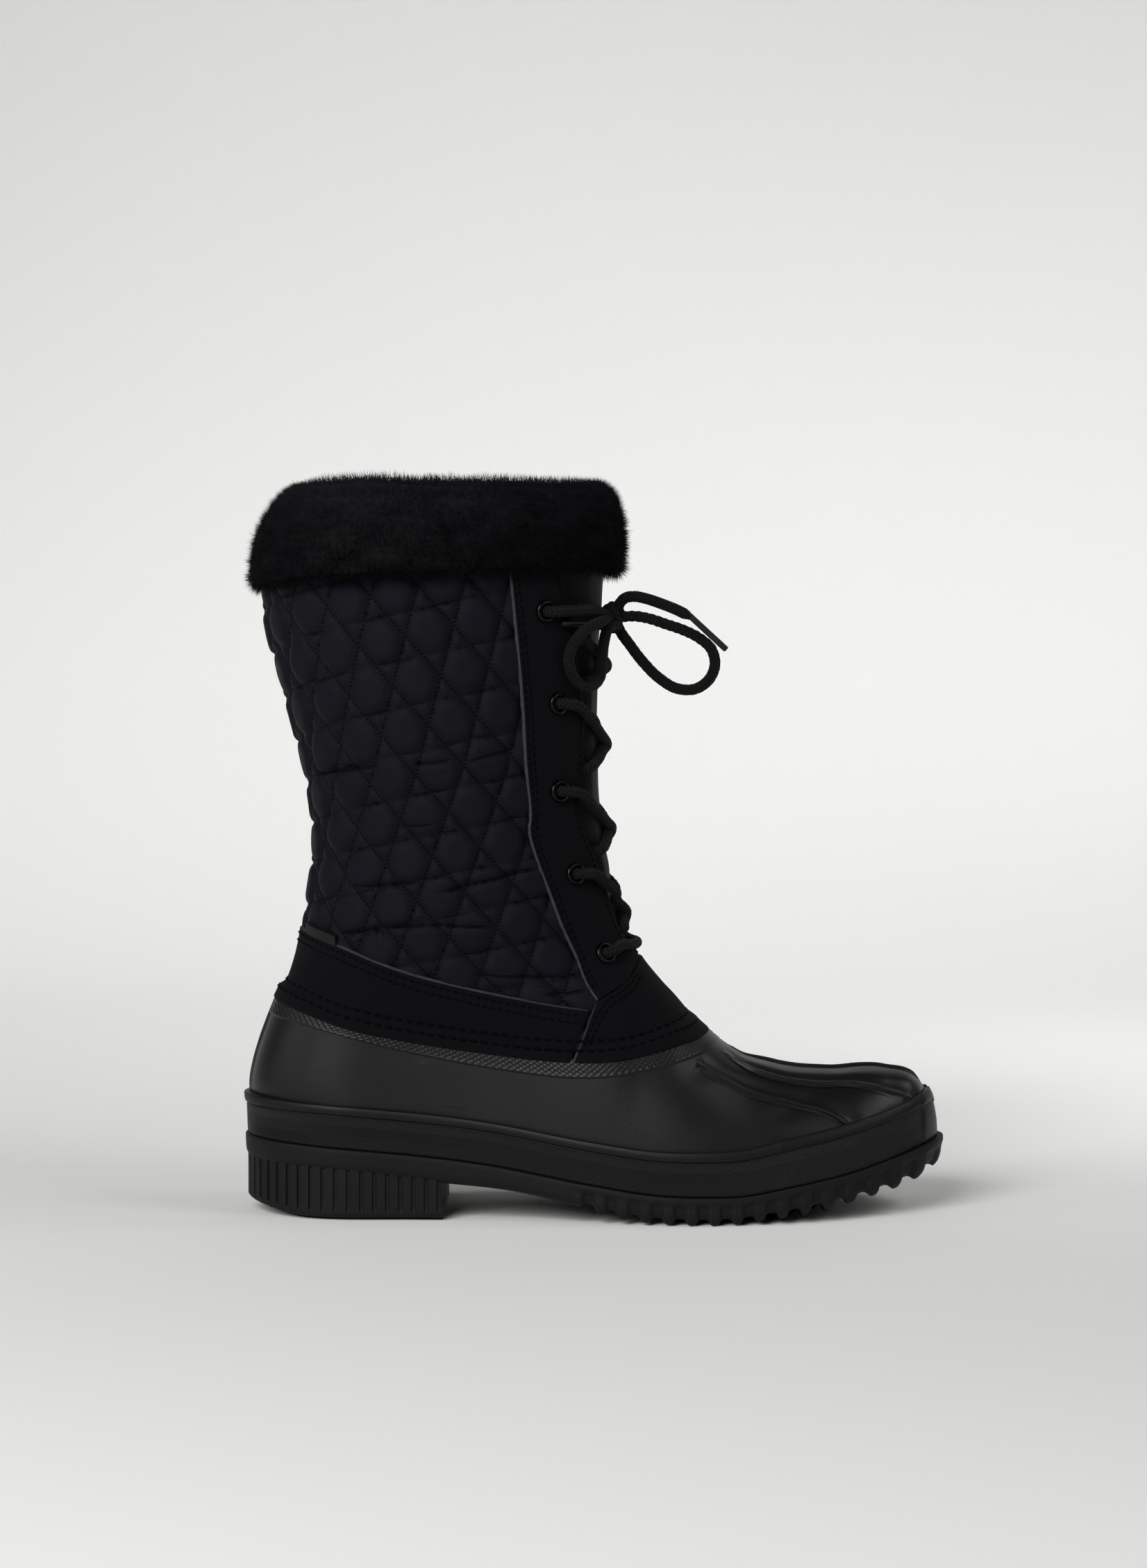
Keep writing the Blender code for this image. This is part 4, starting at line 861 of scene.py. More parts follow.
# Rubber shell: smooth moulding with five toe ridges, flutes between them, a back spine and a faint crease
shell = {
    "inner": 0.4, "outer": 2.6, "rings": 96, "toeColumns": 120, "sideColumns": 66,
    "ridgeHeight": 1.35, "ridgeTop": 0.35, "ridgeFoot": 2.0, "flute": 0.95, "fluteAt": 4.8, "fluteWidth": 2.9,
    "ridges": rows("outerX outerZ innerX innerZ", [
        (174.0, 58.8, 184.8, 62.2), (184.0, 52.4, 197.0, 53.6), (192.5, 47.8, 209.0, 49.6),
        (203.0, 44.4, 220.0, 48.2), (213.0, 42.2, 237.0, 47.6), (222.0, 40.0, 248.0, 45.6),
        (229.0, 37.0, 255.5, 42.6), (235.0, 32.0, 259.5, 37.5)]),
    "ridgeShade": (3.4, 4.8), "crestFrom": 187.0, "crestTo": 262.0, "crestAbove": 36.0, "crestShare": 0.8,
    "crease": [(70.7, 61.3), (77.0, 52.0), (83.0, 42.1)], "creaseHeight": 0.3, "creaseWidth": 1.3,
    "spine": (0.8, 3.4, 4.6), "spineBehind": 24.0, "spineAbove": 40.0, "toeShare": 0.37, "insetAbove": 60.0,
    "bend": (219.6, 44.0, 1.58), "dip": 0.45, "dipAt": 4.0, "dipWidth": 7.0, "dipHeight": (36.0, 44.0),
    "toeFull": 1.7, "toeReach": (250.0, 261.0), "toeHeight": (33.0, 43.0), "innerEach": 19,
}


def lineRelief(grid, line, profile, flute=False):
    # how far a line raises each point, the signed gap to it, and how much it counts there
    flat = grid.reshape(-1, 3)
    gap = np.full(len(flat), 1e9)
    where = np.zeros(len(flat), int)
    for k, spot in enumerate(line):
        d = np.linalg.norm(flat - spot, axis=1)
        where = np.where(d < gap, k, where)
        gap = np.minimum(gap, d)
    share = where / (len(line) - 1)
    ends = smoothStep(share, 0.0, 0.05) * (1 - smoothStep(share, 0.93, 1.0))
    relief = profile(gap)
    aside = [np.abs(spots[:, 1] - centreLine(spots[:, 0], spots[:, 2])) for spots in (line[where], flat)]
    inward = aside[0] - aside[1]
    if flute:
        hollow = bell(gap - shell["fluteAt"], shell["fluteWidth"]) * smoothStep(inward, -0.5, 1.5)
        relief = relief - shell["flute"] * hollow
    signed = np.where(inward > 0, -gap, gap)
    shade = ends * (1 - smoothStep(gap, *shell["ridgeShade"]))
    return [v.reshape(grid.shape[:2]) for v in (relief * ends, signed, shade)]


def ridgeProfile(gap):
    return shell["ridgeHeight"] * (1 - smoothStep(gap, shell["ridgeTop"], shell["ridgeFoot"]))


def makeShell():
    toe = shell["toeShare"] * (1 - np.cos(np.pi / 2 * np.linspace(0.0, 1.0, shell["toeColumns"])))
    side = shell["toeShare"] + (1 - shell["toeShare"]) * np.sin(
        np.pi / 2 * np.linspace(0.0, 1.0, shell["sideColumns"]))
    around = np.concatenate([toe, side[1:]])
    shares = np.linspace(0.0, 1.0, shell["rings"])
    rings = [bandRing(0.4, around), bandRing(9.0, around)] + [shellRing(s, around) for s in shares]
    for station, height in rings:
        inset = np.minimum(station[1:], frontStation(height[1:]) - last["edgeGap"])
        station[1:] = np.where(height[1:] > shell["insetAbove"], inset, station[1:])
    base = np.array([bothSides(ring, shell["outer"]) for ring in rings])
    x, y, z = base[..., 0], base[..., 1], base[..., 2]
    offset = np.full(base.shape[:2], shell["outer"])
    table = shell["ridges"]
    ridgeLines = []
    for side in (-1.0, 1.0):
        for kind in ("outer", "inner"):
            flat = denseLine(paired(table, kind + "X", kind + "Z"), 220)
            line = skin(flat[:, 0], flat[:, 1], side, shell["outer"])
            ridgeLines.append(lineRelief(base, line, ridgeProfile, True))
    onCrest = (frontPath[:, 0] < shell["crestTo"]) & (frontPath[:, 0] > shell["crestFrom"])
    crest = frontPath[onCrest & (frontPath[:, 1] > shell["crestAbove"])][::-1]
    ridgeLines.append(lineRelief(base, skin(crest[:, 0], crest[:, 1], 1.0, shell["outer"]),
                                 lambda gap: shell["crestShare"] * ridgeProfile(gap)))
    nearest, weight = np.full(base.shape[:2], 9.0), np.zeros(base.shape[:2])
    for relief, gap, share in ridgeLines:
        offset += relief
        closer = share > weight
        nearest, weight = np.where(closer, gap, nearest), np.where(closer, share, weight)
    for side in (-1.0, 1.0):
        flat = denseLine(shell["crease"], 60)
        line = skin(flat[:, 0], flat[:, 1], side, shell["outer"])
        offset += lineRelief(base, line, lambda gap: shell["creaseHeight"] * bell(gap, shell["creaseWidth"]))[0]
    rise, near, far = shell["spine"]
    atBack = (x < shell["spineBehind"]) & (z > shell["spineAbove"])
    offset += np.where(atBack, rise * (1 - smoothStep(np.abs(y), near, far)), 0.0)
    # the flutes sink where the toes bend, and the tip is full
    bendX, bendZ, lean = shell["bend"]
    ahead = x - bendX - (z - bendZ) * lean
    high = smoothStep(z, *shell["dipHeight"])
    offset -= high * shell["dip"] * bell(ahead + shell["dipAt"], shell["dipWidth"])
    offset += shell["toeFull"] * smoothStep(x, *shell["toeReach"]) * smoothStep(z, *shell["toeHeight"])
    offset[:2] = shell["outer"]
    outer = np.array([bothSides(ring, o) for ring, o in zip(rings, offset)])
    inner = np.array([bothSides(ring, shell["inner"]) for ring in rings[:2] + rings[2::shell["innerEach"]]])
    layers = [("Ridges", np.stack([nearest, weight], axis=-1))]
    piece = wallPiece("rubber_shell", outer, inner, [shellRubber], layers=layers)
    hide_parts("rubber_shell")


makeShell()

# The shell's rim: a raised strip of small slanting scales below the leather
rim = {
    "lower": rows("station height", [
        (10.6, 75.4), (26.0, 73.2), (43.5, 69.3), (60.0, 65.2), (79.4, 60.9), (107.5, 56.5), (128.7, 54.6),
        (149.8, 55.8), (171.0, 60.0), (184.6, 64.9)]),
    "seat": 2.3, "face": 2.95, "scale": 0.36, "long": 2.7, "tall": 1.8, "rows": 20, "columns": 430,
    "bead": 0.35, "beadAt": 0.13, "beadWidth": 0.08, "plainAbove": 0.86, "under": 0.3, "innerRows": 4,
}


def makeRim():
    share = np.linspace(0.0, 1.0, rim["columns"])
    share = mix(share, spread(rim["columns"]), 0.5)
    lower, ends = rim["lower"], last["topline"]["station"]
    lowX = mix(lower["station"][-1], lower["station"][0], share)
    lowZ = smoothCurve(lower["station"], lower["height"])(lowX)
    highX = mix(ends[-1] - 0.4, ends[0] + 0.3, share)
    highZ = topline(highX) + 1.2
    rings = []
    for up in np.linspace(0.0, 1.0, rim["rows"]):
        height = mix(lowZ, highZ, up)
        station = keptInside(mix(lowX, highX, up), height, last["edgeGap"])
        station[0] = frontStation(height[0])
        station[-1] = backStation(height[-1])
        rings.append((station, height))
    base = np.array([bothSides(ring, rim["face"]) for ring in rings])
    flat = arcUv(base, rim["columns"])
    along, up = flat[rim["rows"] // 2, :, 0] / rim["long"], flat[..., 1] / rim["tall"]
    scales = [np.abs(share - np.round(share)) * 2 for share in (along + up, along - up)]
    scales = smoothStep(np.minimum(*scales), 0.05, 0.55)
    level = np.linspace(0.0, 1.0, rim["rows"])[:, None]
    edge = smoothStep(level, 0.0, 0.12)
    offset = mix(rim["seat"], rim["face"], edge) + rim["scale"] * scales * smoothStep(level, 0.14, 0.24)
    offset = offset + rim["bead"] * bell(level - rim["beadAt"], rim["beadWidth"])
    offset = np.where(level > rim["plainAbove"], np.minimum(offset, rim["face"]), offset)
    offset[:, -1], offset[:, rim["columns"]] = offset[:, 0], offset[:, rim["columns"] - 1]
    outer = np.array([bothSides(ring, o) for ring, o in zip(rings, offset)])
    inner = np.array([bothSides(rings[k], rim["seat"] - rim["under"])
                      for k in coarse(rim["rows"], rim["innerRows"])])
    piece = wallPiece("shell_rim", outer, inner, [shellRubber])


makeRim()
print("shell made")

# Foxing: a knurled band with a flat ribbon along its top, overlapped at its joints, and a smooth toe patch
foxing = {
    "columns": 260, "laps": [(205.0, 238.5, 0.28), (259.4, 270.0, 0.4)], "lapEdge": 0.5, "patch": 259.4,
    "faceFrom": 4.0,
    "section": [  # rise, offset, knurled or not
        (0.15, 3.0, 0), (16.4, 3.0, 0), (16.4, 4.9, 0), (16.25, 5.35, 0), (15.9, 5.6, 0), (14.5, 5.68, 0),
        (13.3, 5.6, 0), (12.95, 5.4, 0), (12.8, 4.9, 0), (12.55, 4.75, 0), (12.3, 4.95, 1), (11.6, 5.12, 1),
        (9.0, 5.2, 1), (5.0, 5.25, 1), (1.7, 5.25, 1), (0.6, 5.15, 1), (0.15, 4.7, 0)],
}


def makeFoxing():
    around = spread(foxing["columns"])
    loops, slots = [], []
    for rise, offset, knurl in foxing["section"]:
        ring = bandRing(rise, around)
        station, edge = ring[0], foxing["lapEdge"]
        lap = np.zeros(len(station))
        for start, end, thick in foxing["laps"]:
            begun = smoothStep(station, start - edge, start + edge)
            lap += thick * begun * (1 - smoothStep(station, end - edge, end + edge))
        lap = thereAndBack(lap) if offset > foxing["faceFrom"] else 0.0
        loops.append(bothSides(ring, offset + lap)[:-1])
        patched = thereAndBack(station)[:-1] > foxing["patch"]
        slots.append(np.where(patched, 0, knurl))
    piece = ringPiece("foxing", loops, [smoothFoxing, foxingRubber], slots)
    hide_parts("foxing")


makeFoxing()
print("foxing made")

# Outsole: a plate with a rounded edge, finger-shaped lugs under the forefoot and a grooved heel
sole = {
    "gap": 0.1, "edge": 6.05, "strip": 2.0, "web": 1.35, "lugOut": 1.3, "toeOut": 1.9,
    "lugAt": 139.2, "lugPitch": 8.45, "lugRise": 2.3, "lugDeep": 4.0,
    "lugTip": rows("away rise", [
        (0.0, 0.0), (0.15, 0.03), (0.3, 0.14), (0.4, 0.32), (0.48, 0.6), (0.56, 0.8), (0.7, 0.93), (1.0, 1.0)]),
    "wall": ((3.6, 0.0), (5.5, 0.0), (5.9, 0.2)), "edgeDrop": 0.6,  # offset and drop of the rounded edge
    "shares": (0.0, 0.1, 0.2, 0.32, 0.45, 0.6, 0.74, 0.86, 0.95, 1.0), "tuck": 1.7, "toeDrawn": 0.95,
    "ringRise": 0.5, "treadFrom": (127.0, 131.0), "archEnd": 130.0, "plate": 4.9, "toeOutAt": (246.0, 266.0),
    "zigzagFrom": 14.0, "zigzagDeep": 9.0, "zigzag": 0.5,
    "underside": rows("station height", [
        (-2.0, 21.4), (40.0, 18.8), (81.0, 14.2), (93.0, 13.2), (104.0, 12.0), (114.0, 10.4), (122.0, 8.8),
        (130.0, 6.8)]),
    "middleLine": rows("station height", [
        (130.0, 6.8), (139.0, 4.8), (148.0, 2.8), (156.0, 1.3), (164.0, 0.3), (168.0, 0.0), (204.0, 0.0),
        (212.0, 0.5), (221.0, 2.0), (231.0, 5.0), (242.0, 9.0), (253.0, 12.4), (264.0, 15.6), (274.0, 18.6)]),
    "edgeLine": rows("station height", [
        (130.0, 7.2), (139.2, 4.0), (147.8, 2.2), (156.6, 1.1), (165.0, 0.6), (173.4, 0.2), (182.0, 0.1),
        (190.4, 0.6), (199.4, 1.9), (207.7, 3.0), (214.8, 4.3), (223.4, 5.6), (232.2, 7.3), (240.4, 9.1),
        (249.2, 11.1), (257.6, 13.5), (265.7, 16.2), (272.0, 19.0)]),
    "breast": 79.6, "ribs": 38, "grooveDeep": 0.75, "heelLift": 4.6, "liftEnd": 26.0,
    "grooves": rows("share panel", [(0.0, 1.0), (0.05, 1.0), (0.1, 0.0), (0.36, 0.0), (0.41, 1.0)]),
    "heelSide": rows("level offset groove", [
        (0.0, 1.4, 0.0), (1.1, 1.6, 0.0), (1.2, 3.9, 0.0), (1.6, 4.7, 0.0), (2.3, 5.05, 0.0), (3.0, 5.1, 0.0),
        (3.5, 5.1, 0.75), (4.4, 5.1, 1.0), (9.0, 5.1, 1.0)]),
}
underside = smoothCurve(sole["underside"]["station"], sole["underside"]["height"])


def soleColumns():
    fine = spread(4001)
    station, height = bandRing(sole["ringRise"], fine)
    arc = lengths(skin(station, height, -1.0, 5.0))
    arch, heel = np.interp([-126.0, -30.0], -station, arc)
    # close together over the lugs, far apart along the arch
    places = [np.arange(0.0, arch, 0.62), np.arange(arch, heel, 4.0), np.linspace(heel, arc[-1], 24)]
    return np.interp(np.concatenate(places), arc, fine)


def fromLug(station, inward):
    # 0 in the middle of a lug, 1 half way to the next; the rows of lugs zigzag towards the middle
    zigzag = sole["zigzag"] * np.clip(inward - sole["zigzagFrom"], 0.0, sole["zigzagDeep"])
    phase = (station - sole["lugAt"] - zigzag) / sole["lugPitch"]
    return np.abs(phase - np.round(phase)) * 2


def treadHeight(station, inward, top):
    lugged = smoothStep(station, *sole["treadFrom"])
    edge, middle = (np.interp(station, sole[k]["station"], sole[k]["height"]) for k in ("edgeLine", "middleLine"))
    face = mix(edge, middle, smoothStep(inward, 0.0, 12.0))
    deep = mix(sole["lugRise"], sole["lugDeep"], smoothStep(inward, 1.0, 6.0))
    lug = face + deep * np.interp(fromLug(station, inward), sole["lugTip"]["away"], sole["lugTip"]["rise"])
    arch = underside(np.minimum(station, sole["archEnd"]))
    return np.minimum(mix(arch, lug, lugged), top - sole["plate"])


def makeSole():
    station, height = bandRing(sole["ringRise"], soleColumns())
    top = soleTop(station) - sole["gap"]
    toeOut = sole["toeOut"] * smoothStep(station, *sole["toeOutAt"])
    lugged = smoothStep(station, *sole["treadFrom"])
    finger = 1 - smoothStep(fromLug(station, 0.0), 0.36, 0.66)
    foot = treadHeight(station, 0.0, top)
    walls = []
    for side in (-1.0, 1.0):
        base = skin(station, height, side)[:, :2]
        way = skin(station, height, side, 1.0)[:, :2] - base
        rowsOf = [np.column_stack([base + (offset + toeOut)[:, None] * way, top - drop])
                  for offset, drop in [*sole["wall"], (sole["edge"], sole["edgeDrop"])]]
        for t in sole["shares"]:
            inset = sole["web"] * smoothStep(t, 0.0, 0.36) - sole["lugOut"] * finger * smoothStep(t, 0.03, 0.4)
            offset = sole["edge"] - mix(0.3 * t, inset, lugged) - sole["tuck"] * t ** 6
            offset = offset + toeOut * (1 - sole["toeDrawn"] * t)
            rowsOf.append(np.column_stack([base + offset[:, None] * way, mix(top - sole["strip"], foot, t)]))
        walls.append(rowsOf)
    outer, inner = walls[0][-1], walls[1][-1]
    across = np.concatenate([[0.012, 0.03], np.linspace(0.06, 0.94, 36), [0.97, 0.988]])
    bottom = []
    for t in across:
        flat = mix(outer, inner, t)
        inward = np.minimum(t, 1 - t) * np.linalg.norm(inner[:, :2] - outer[:, :2], axis=1)
        flat[:, 2] = treadHeight(station, inward, top)
        bottom.append(flat)
    loops = np.stack(walls[0] + bottom + walls[1][::-1], axis=1)
    closed = np.concatenate([loops, loops[:, :1]], axis=1)
    parts = [(closed.reshape(-1, 3), gridFaces(*closed.shape[:2]).tolist()), heelParts()]
    piece = makePiece("outsole", *joinParts(parts), [treadRubber], weld=weldGap, smooth=50.0)
    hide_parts("outsole")


def heelParts():
    station, height = bandRing(sole["ringRise"], spread(241))
    base, out = [], []
    for side, order in ((-1.0, 1), (1.0, -1)):
        point = skin(station, height, side)
        way = skin(station, height, side, 1.0) - point
        keep = station < sole["breast"]
        base.append(point[keep][::order, :2])
        out.append(way[keep][::order, :2])
    base, out = np.concatenate([base[0][:-1], base[1]]), np.concatenate([out[0][:-1], out[1]])
    along = lengths(base + 4.4 * out)
    pitch = along[-1] / (sole["ribs"] + 0.2)
    groove = sole["grooves"]
    places = np.concatenate([(k + groove["share"]) * pitch for k in range(sole["ribs"])] + [along[-1:]])
    sunk = 1 - np.concatenate([groove["panel"]] * sole["ribs"] + [[1.0]])
    spot = np.stack([np.interp(places, along, base[:, k]) for k in (0, 1)], axis=1)
    way = np.stack([np.interp(places, along, out[:, k]) for k in (0, 1)], axis=1)
    lift = sole["heelLift"] * np.clip(1 - (spot[:, 0] - spot[:, 0].min()) / sole["liftEnd"], 0.0, 1.0) ** 2
    side = sole["heelSide"]
    loops = []
    for level, offset, grooved in zip(side["level"], side["offset"], side["groove"]):
        flat = spot + (offset - grooved * sole["grooveDeep"] * sunk)[:, None] * way
        loops.append(np.column_stack([flat, level + lift * (1 - level / 14.0)]))
    flat = spot + (side["offset"][-1] - sole["grooveDeep"] * sunk)[:, None] * way
    loops.append(np.column_stack([flat, soleTop(flat[:, 0]) - 3.2]))
    loops = np.array(loops)
    closed = np.concatenate([loops, loops[:, :1]], axis=1)
    count, width = closed.shape[:2]
    faces = gridFaces(count, width).tolist()
    faces.append(list(range(width - 1)))
    faces.append([(count - 1) * width + j for j in range(width - 1)][::-1])
    return closed.reshape(-1, 3), faces


makeSole()
print("outsole made")

# Quilted shaft: cells between two sets of stitched lines and one of creases, puffed out, with a few deep folds
quilt = {
    "rowsLow": 36, "rowsHigh": 132, "columns": 128, "puff": 2.0, "soft": 1.35, "crease": 0.9,
    "origin": (65.2, 222.8), "along": (18.3, 3.9), "down": (-4.9, -18.9), "bunched": (172.0, 0.10, 0.075),
    "folds": rows("x0 z0 x1 z1 depth", [
        (27.0, 169.8, 55.0, 173.8, 1.6), (68.0, 174.4, 83.0, 175.8, 0.9), (87.6, 175.0, 107.0, 180.6, 1.0),
        (41.0, 127.2, 71.0, 129.4, 1.2), (76.0, 125.4, 117.0, 135.4, 1.8), (38.6, 109.0, 56.0, 111.7, 1.6),
        (54.0, 111.5, 74.0, 113.4, 1.6), (71.0, 113.3, 99.0, 112.6, 1.3), (90.0, 94.0, 124.0, 92.8, 1.0),
        (116.6, 86.4, 134.0, 87.8, 0.9), (62.6, 150.5, 76.4, 151.4, 0.7)]),
    "foldBulge": 0.4, "foldRise": 3.0, "foldSpread": 2.2, "foldWidth": 0.9, "foldShade": (2.6, 4.0), "faint": 0.75,
    "middle": 75.0, "sunk": (-1.9, -1.9, -1.9, -1.9, -0.6), "depths": (-1.9, 1.3), "underCuff": 262.0, "flatAt": -0.6,
    "backSeam": 0.9, "seamWidth": 1.2, "edgeColumns": 3, "edgeAt": -0.3,
    "footRows": 4, "innerLow": 9, "innerHigh": 36,
}


def latticeShares(u, v):
    # the cloth is bunched below the ankle's fold: cells lie lower and further back there
    level, squash, lean = quilt["bunched"]
    below = np.maximum(level - v, 0.0)
    a, b = quilt["along"], quilt["down"]
    du, dv = u + lean * below - quilt["origin"][0], v - squash * below - quilt["origin"][1]
    det = a[0] * b[1] - a[1] * b[0]
    return (du * b[1] - dv * b[0]) / det, (a[0] * dv - a[1] * du) / det


def quiltRelief(p, q, station, height):
    # the puffed relief, and for the cloth's shading how far the nearest crease or fold is and how deep
    a, b = np.array(quilt["along"]), np.array(quilt["down"])
    area = abs(a[0] * b[1] - a[1] * b[0])
    away = [(value - np.round(value)) * area / np.linalg.norm(way)
            for value, way in ((p, b), (p - q, a + b), (q - 0.5, a))]
    rise = [1 - np.exp(-np.abs(gap) / quilt["soft"]) for gap in away]
    relief = quilt["puff"] * (rise[0] * rise[1] * (0.35 + 0.65 * rise[2]) * 1.35 - 0.6)
    deep = smoothStep(waves(5.0 * p, 5.0 * q, 8.0, 2.0) + 0.5 * waves(11.0 * p, 4.0 * q, 9.0, 7.0), -0.35, 0.5)
    wander = 0.9 * waves(6.0 * p, 6.0 * q, 6.0, 4.0)
    clear = smoothStep(np.abs(away[0]) + np.abs(away[1]), 0.5, 3.0)  # of the stitched lines' crossings
    lines = [(away[2] + wander, quilt["faint"] * deep * clear, quilt["crease"])]
    for fold in quilt["folds"]:
        way = np.array([fold["x1"] - fold["x0"], fold["z1"] - fold["z0"]])
        t = ((station - fold["x0"]) * way[0] + (height - fold["z0"]) * way[1]) / (way @ way)
        gap = height - (fold["z0"] + np.clip(t, 0.0, 1.0) * way[1]) + 0.5 * wander
        ends = smoothStep(t, -0.03, 0.2) * (1 - smoothStep(t, 0.8, 1.03))
        lines.append((gap, ends, fold["depth"]))
        bulge = bell(gap - quilt["foldRise"], quilt["foldSpread"])
        relief = relief + quilt["foldBulge"] * fold["depth"] * ends * bulge
    nearest, weight = np.full(p.shape, 9.0), np.zeros(p.shape)
    for gap, share, depth in lines:
        relief = relief - depth * share * bell(gap, quilt["foldWidth"])
        share = share * (1 - smoothStep(np.abs(gap), *quilt["foldShade"]))
        better = share * bell(gap, 2.5) > weight * bell(nearest, 2.5)
        nearest, weight = np.where(better, gap, nearest), np.where(better, share, weight)
    return relief + 0.25 * waves(p, q, 1.7, 5.0), np.stack([nearest, weight], axis=-1)


def topSpread(columns):
    station, height = shellRing(1.0, spread(columns))
    margin = 0.0004 * np.arange(columns)  # keeps columns apart at the ends
    share = np.clip(forwardShare(station, height), margin[::-1], 1 - margin)
    share[0], share[-1] = 1.0, 0.0
    return height, share


def shaftRings(columns):
    rimHeight, share = topSpread(columns)
    around = spread(columns)
    rings = [bandRing(0.4, around), bandRing(last["shellFoot"], around)]
    rings += [shellRing(s, around) for s in (0.35, 0.7)]
    for up in np.linspace(0.0, 1.0, quilt["rowsLow"]):
        height = mix(rimHeight, mix(last["throatBack"], last["throatFoot"], share), up)
        rings.append((atShare(share, height), height))
    for up in np.linspace(0.0, 1.0, quilt["rowsHigh"] + 1)[1:]:
        front, back = (mix(last[k], last["collarHeight"], up) for k in ("throatFoot", "throatBack"))
        edge = throatEdge(min(front, last["throatTop"])) - 0.12 * max(front - last["throatTop"], 0.0)
        height = mix(back, front, share)
        rings.append((atShare(share * forwardShare(edge, front), height), height))
    return rings


def makeShaft():
    rings = shaftRings(quilt["columns"])
    base = np.array([bothSides(ring, 0.0) for ring in rings])
    count = quilt["columns"]
    flat = arcUv(base, count)
    # measured round the leg, so that the cells keep their width where the leg curves away
    u = np.empty(flat.shape[:2])
    for i in range(len(base)):
        for part, way in ((slice(None, count), -1), (slice(count, None), 1)):
            station, arc = base[i, part, 0], flat[i, part, 0]
            zero = np.interp(quilt["middle"], station[::way], arc[::way])
            u[i, part] = quilt["middle"] + way * (arc - zero)
    v = base[..., 2]
    lattice = np.stack(latticeShares(u, v), axis=-1)
    relief, folds = quiltRelief(lattice[..., 0], lattice[..., 1], base[..., 0], v)
    relief[:len(quilt["sunk"])] = np.array(quilt["sunk"])[:, None]  # well under the shell
    relief = relief - quilt["backSeam"] * bell(flat[..., 0], quilt["seamWidth"])
    relief = np.where(v > quilt["underCuff"], quilt["flatAt"], relief)
    edge = np.minimum(np.arange(2 * count), np.arange(2 * count)[::-1])[None, :]
    relief = np.where(edge < quilt["edgeColumns"], np.minimum(relief, quilt["edgeAt"]), relief)
    relief = np.clip(relief, *quilt["depths"])
    outer = np.array([bothSides(ring, o) for ring, o in zip(rings, relief)])
    rowsLow = quilt["footRows"] + np.arange(quilt["rowsLow"])
    foot = rowsLow[-1] + 1  # the first row that the throat parts
    kept = np.concatenate([np.arange(quilt["footRows"]), rowsLow[coarse(len(rowsLow), quilt["innerLow"])],
                           foot + coarse(quilt["rowsHigh"], quilt["innerHigh"])])
    inner = np.array([bothSides(rings[k], -last["wall"]) for k in kept])
    for grid, low in ((outer, foot), (inner, int(np.sum(kept < foot)))):
        grid[:low, -1], grid[:, count] = grid[:low, 0], grid[:, count - 1]
    uv = np.stack([u, v], axis=-1)
    layers = [("Lattice", lattice), ("Folds", folds)]
    piece = wallPiece("quilted_shaft", outer, inner, [quiltNylon, liningFleece], None, 1, uv, layers, kept=kept)
    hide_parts("upper")


makeShaft()
print("shaft made")

# Leather: counter band, vamp and eyestays, cut edges showing as a pale line
leather = {
    "inner": 0.8, "outer": 2.0, "lapInner": 3.0, "lapOuter": 3.95, "lapEnds": (0.15, 0.28), "edgeLift": 0.15,
    "bandFront": 127.4, "vampBack": 128.2, "ripple": 0.12, "rippleSize": 16.0, "stayInner": 0.1, "stayEdge": 0.3,
    "bandTop": rows("station height", [
        (23.6, 110.4), (39.0, 105.0), (61.5, 96.6), (88.0, 89.6), (110.0, 84.9), (124.0, 82.2), (134.4, 80.6)]),
    "vampTop": rows("station height", [
        (136.6, 83.8), (139.8, 85.6), (144.4, 88.4), (148.6, 92.0), (150.6, 95.2), (152.3, 98.6)]),
    "eyestay": rows("backZ backX frontZ frontX", [
        (84.6, 136.4, 99.2, 151.6), (91.0, 132.2, 104.5, 147.6), (100.0, 128.6, 112.5, 143.4),
        (112.0, 123.0, 122.0, 140.2), (124.0, 118.6, 137.0, 135.6), (136.5, 114.0, 152.0, 129.8),
        (147.5, 110.8, 160.0, 129.4), (156.0, 111.0, 171.5, 130.0), (175.0, 109.2, 184.0, 130.8),
        (197.0, 108.0, 198.0, 130.6), (221.0, 106.0, 222.0, 127.4), (250.0, 103.4, 250.0, 121.0)]),
}
bandTopLine = smoothCurve(leather["bandTop"]["station"], leather["bandTop"]["height"])


def panelGrid(lower, upper, shares, fromBack):
    edge = backStation if fromBack else frontStation
    lowStep, highStep = lower[0] - edge(lower[1]), upper[0] - edge(upper[1])
    follow = np.linspace(0.0, 1.0, len(lowStep))
    grid = []
    for share in shares:
        height = mix(lower[1], upper[1], share)
        along = edge(height) + mix(lowStep, highStep, share)
        station = mix(mix(lower[0], upper[0], share), along, follow)
        station[:-1] = keptInside(station[:-1], height[:-1], last["edgeGap"])
        grid.append((station, height))
    return grid


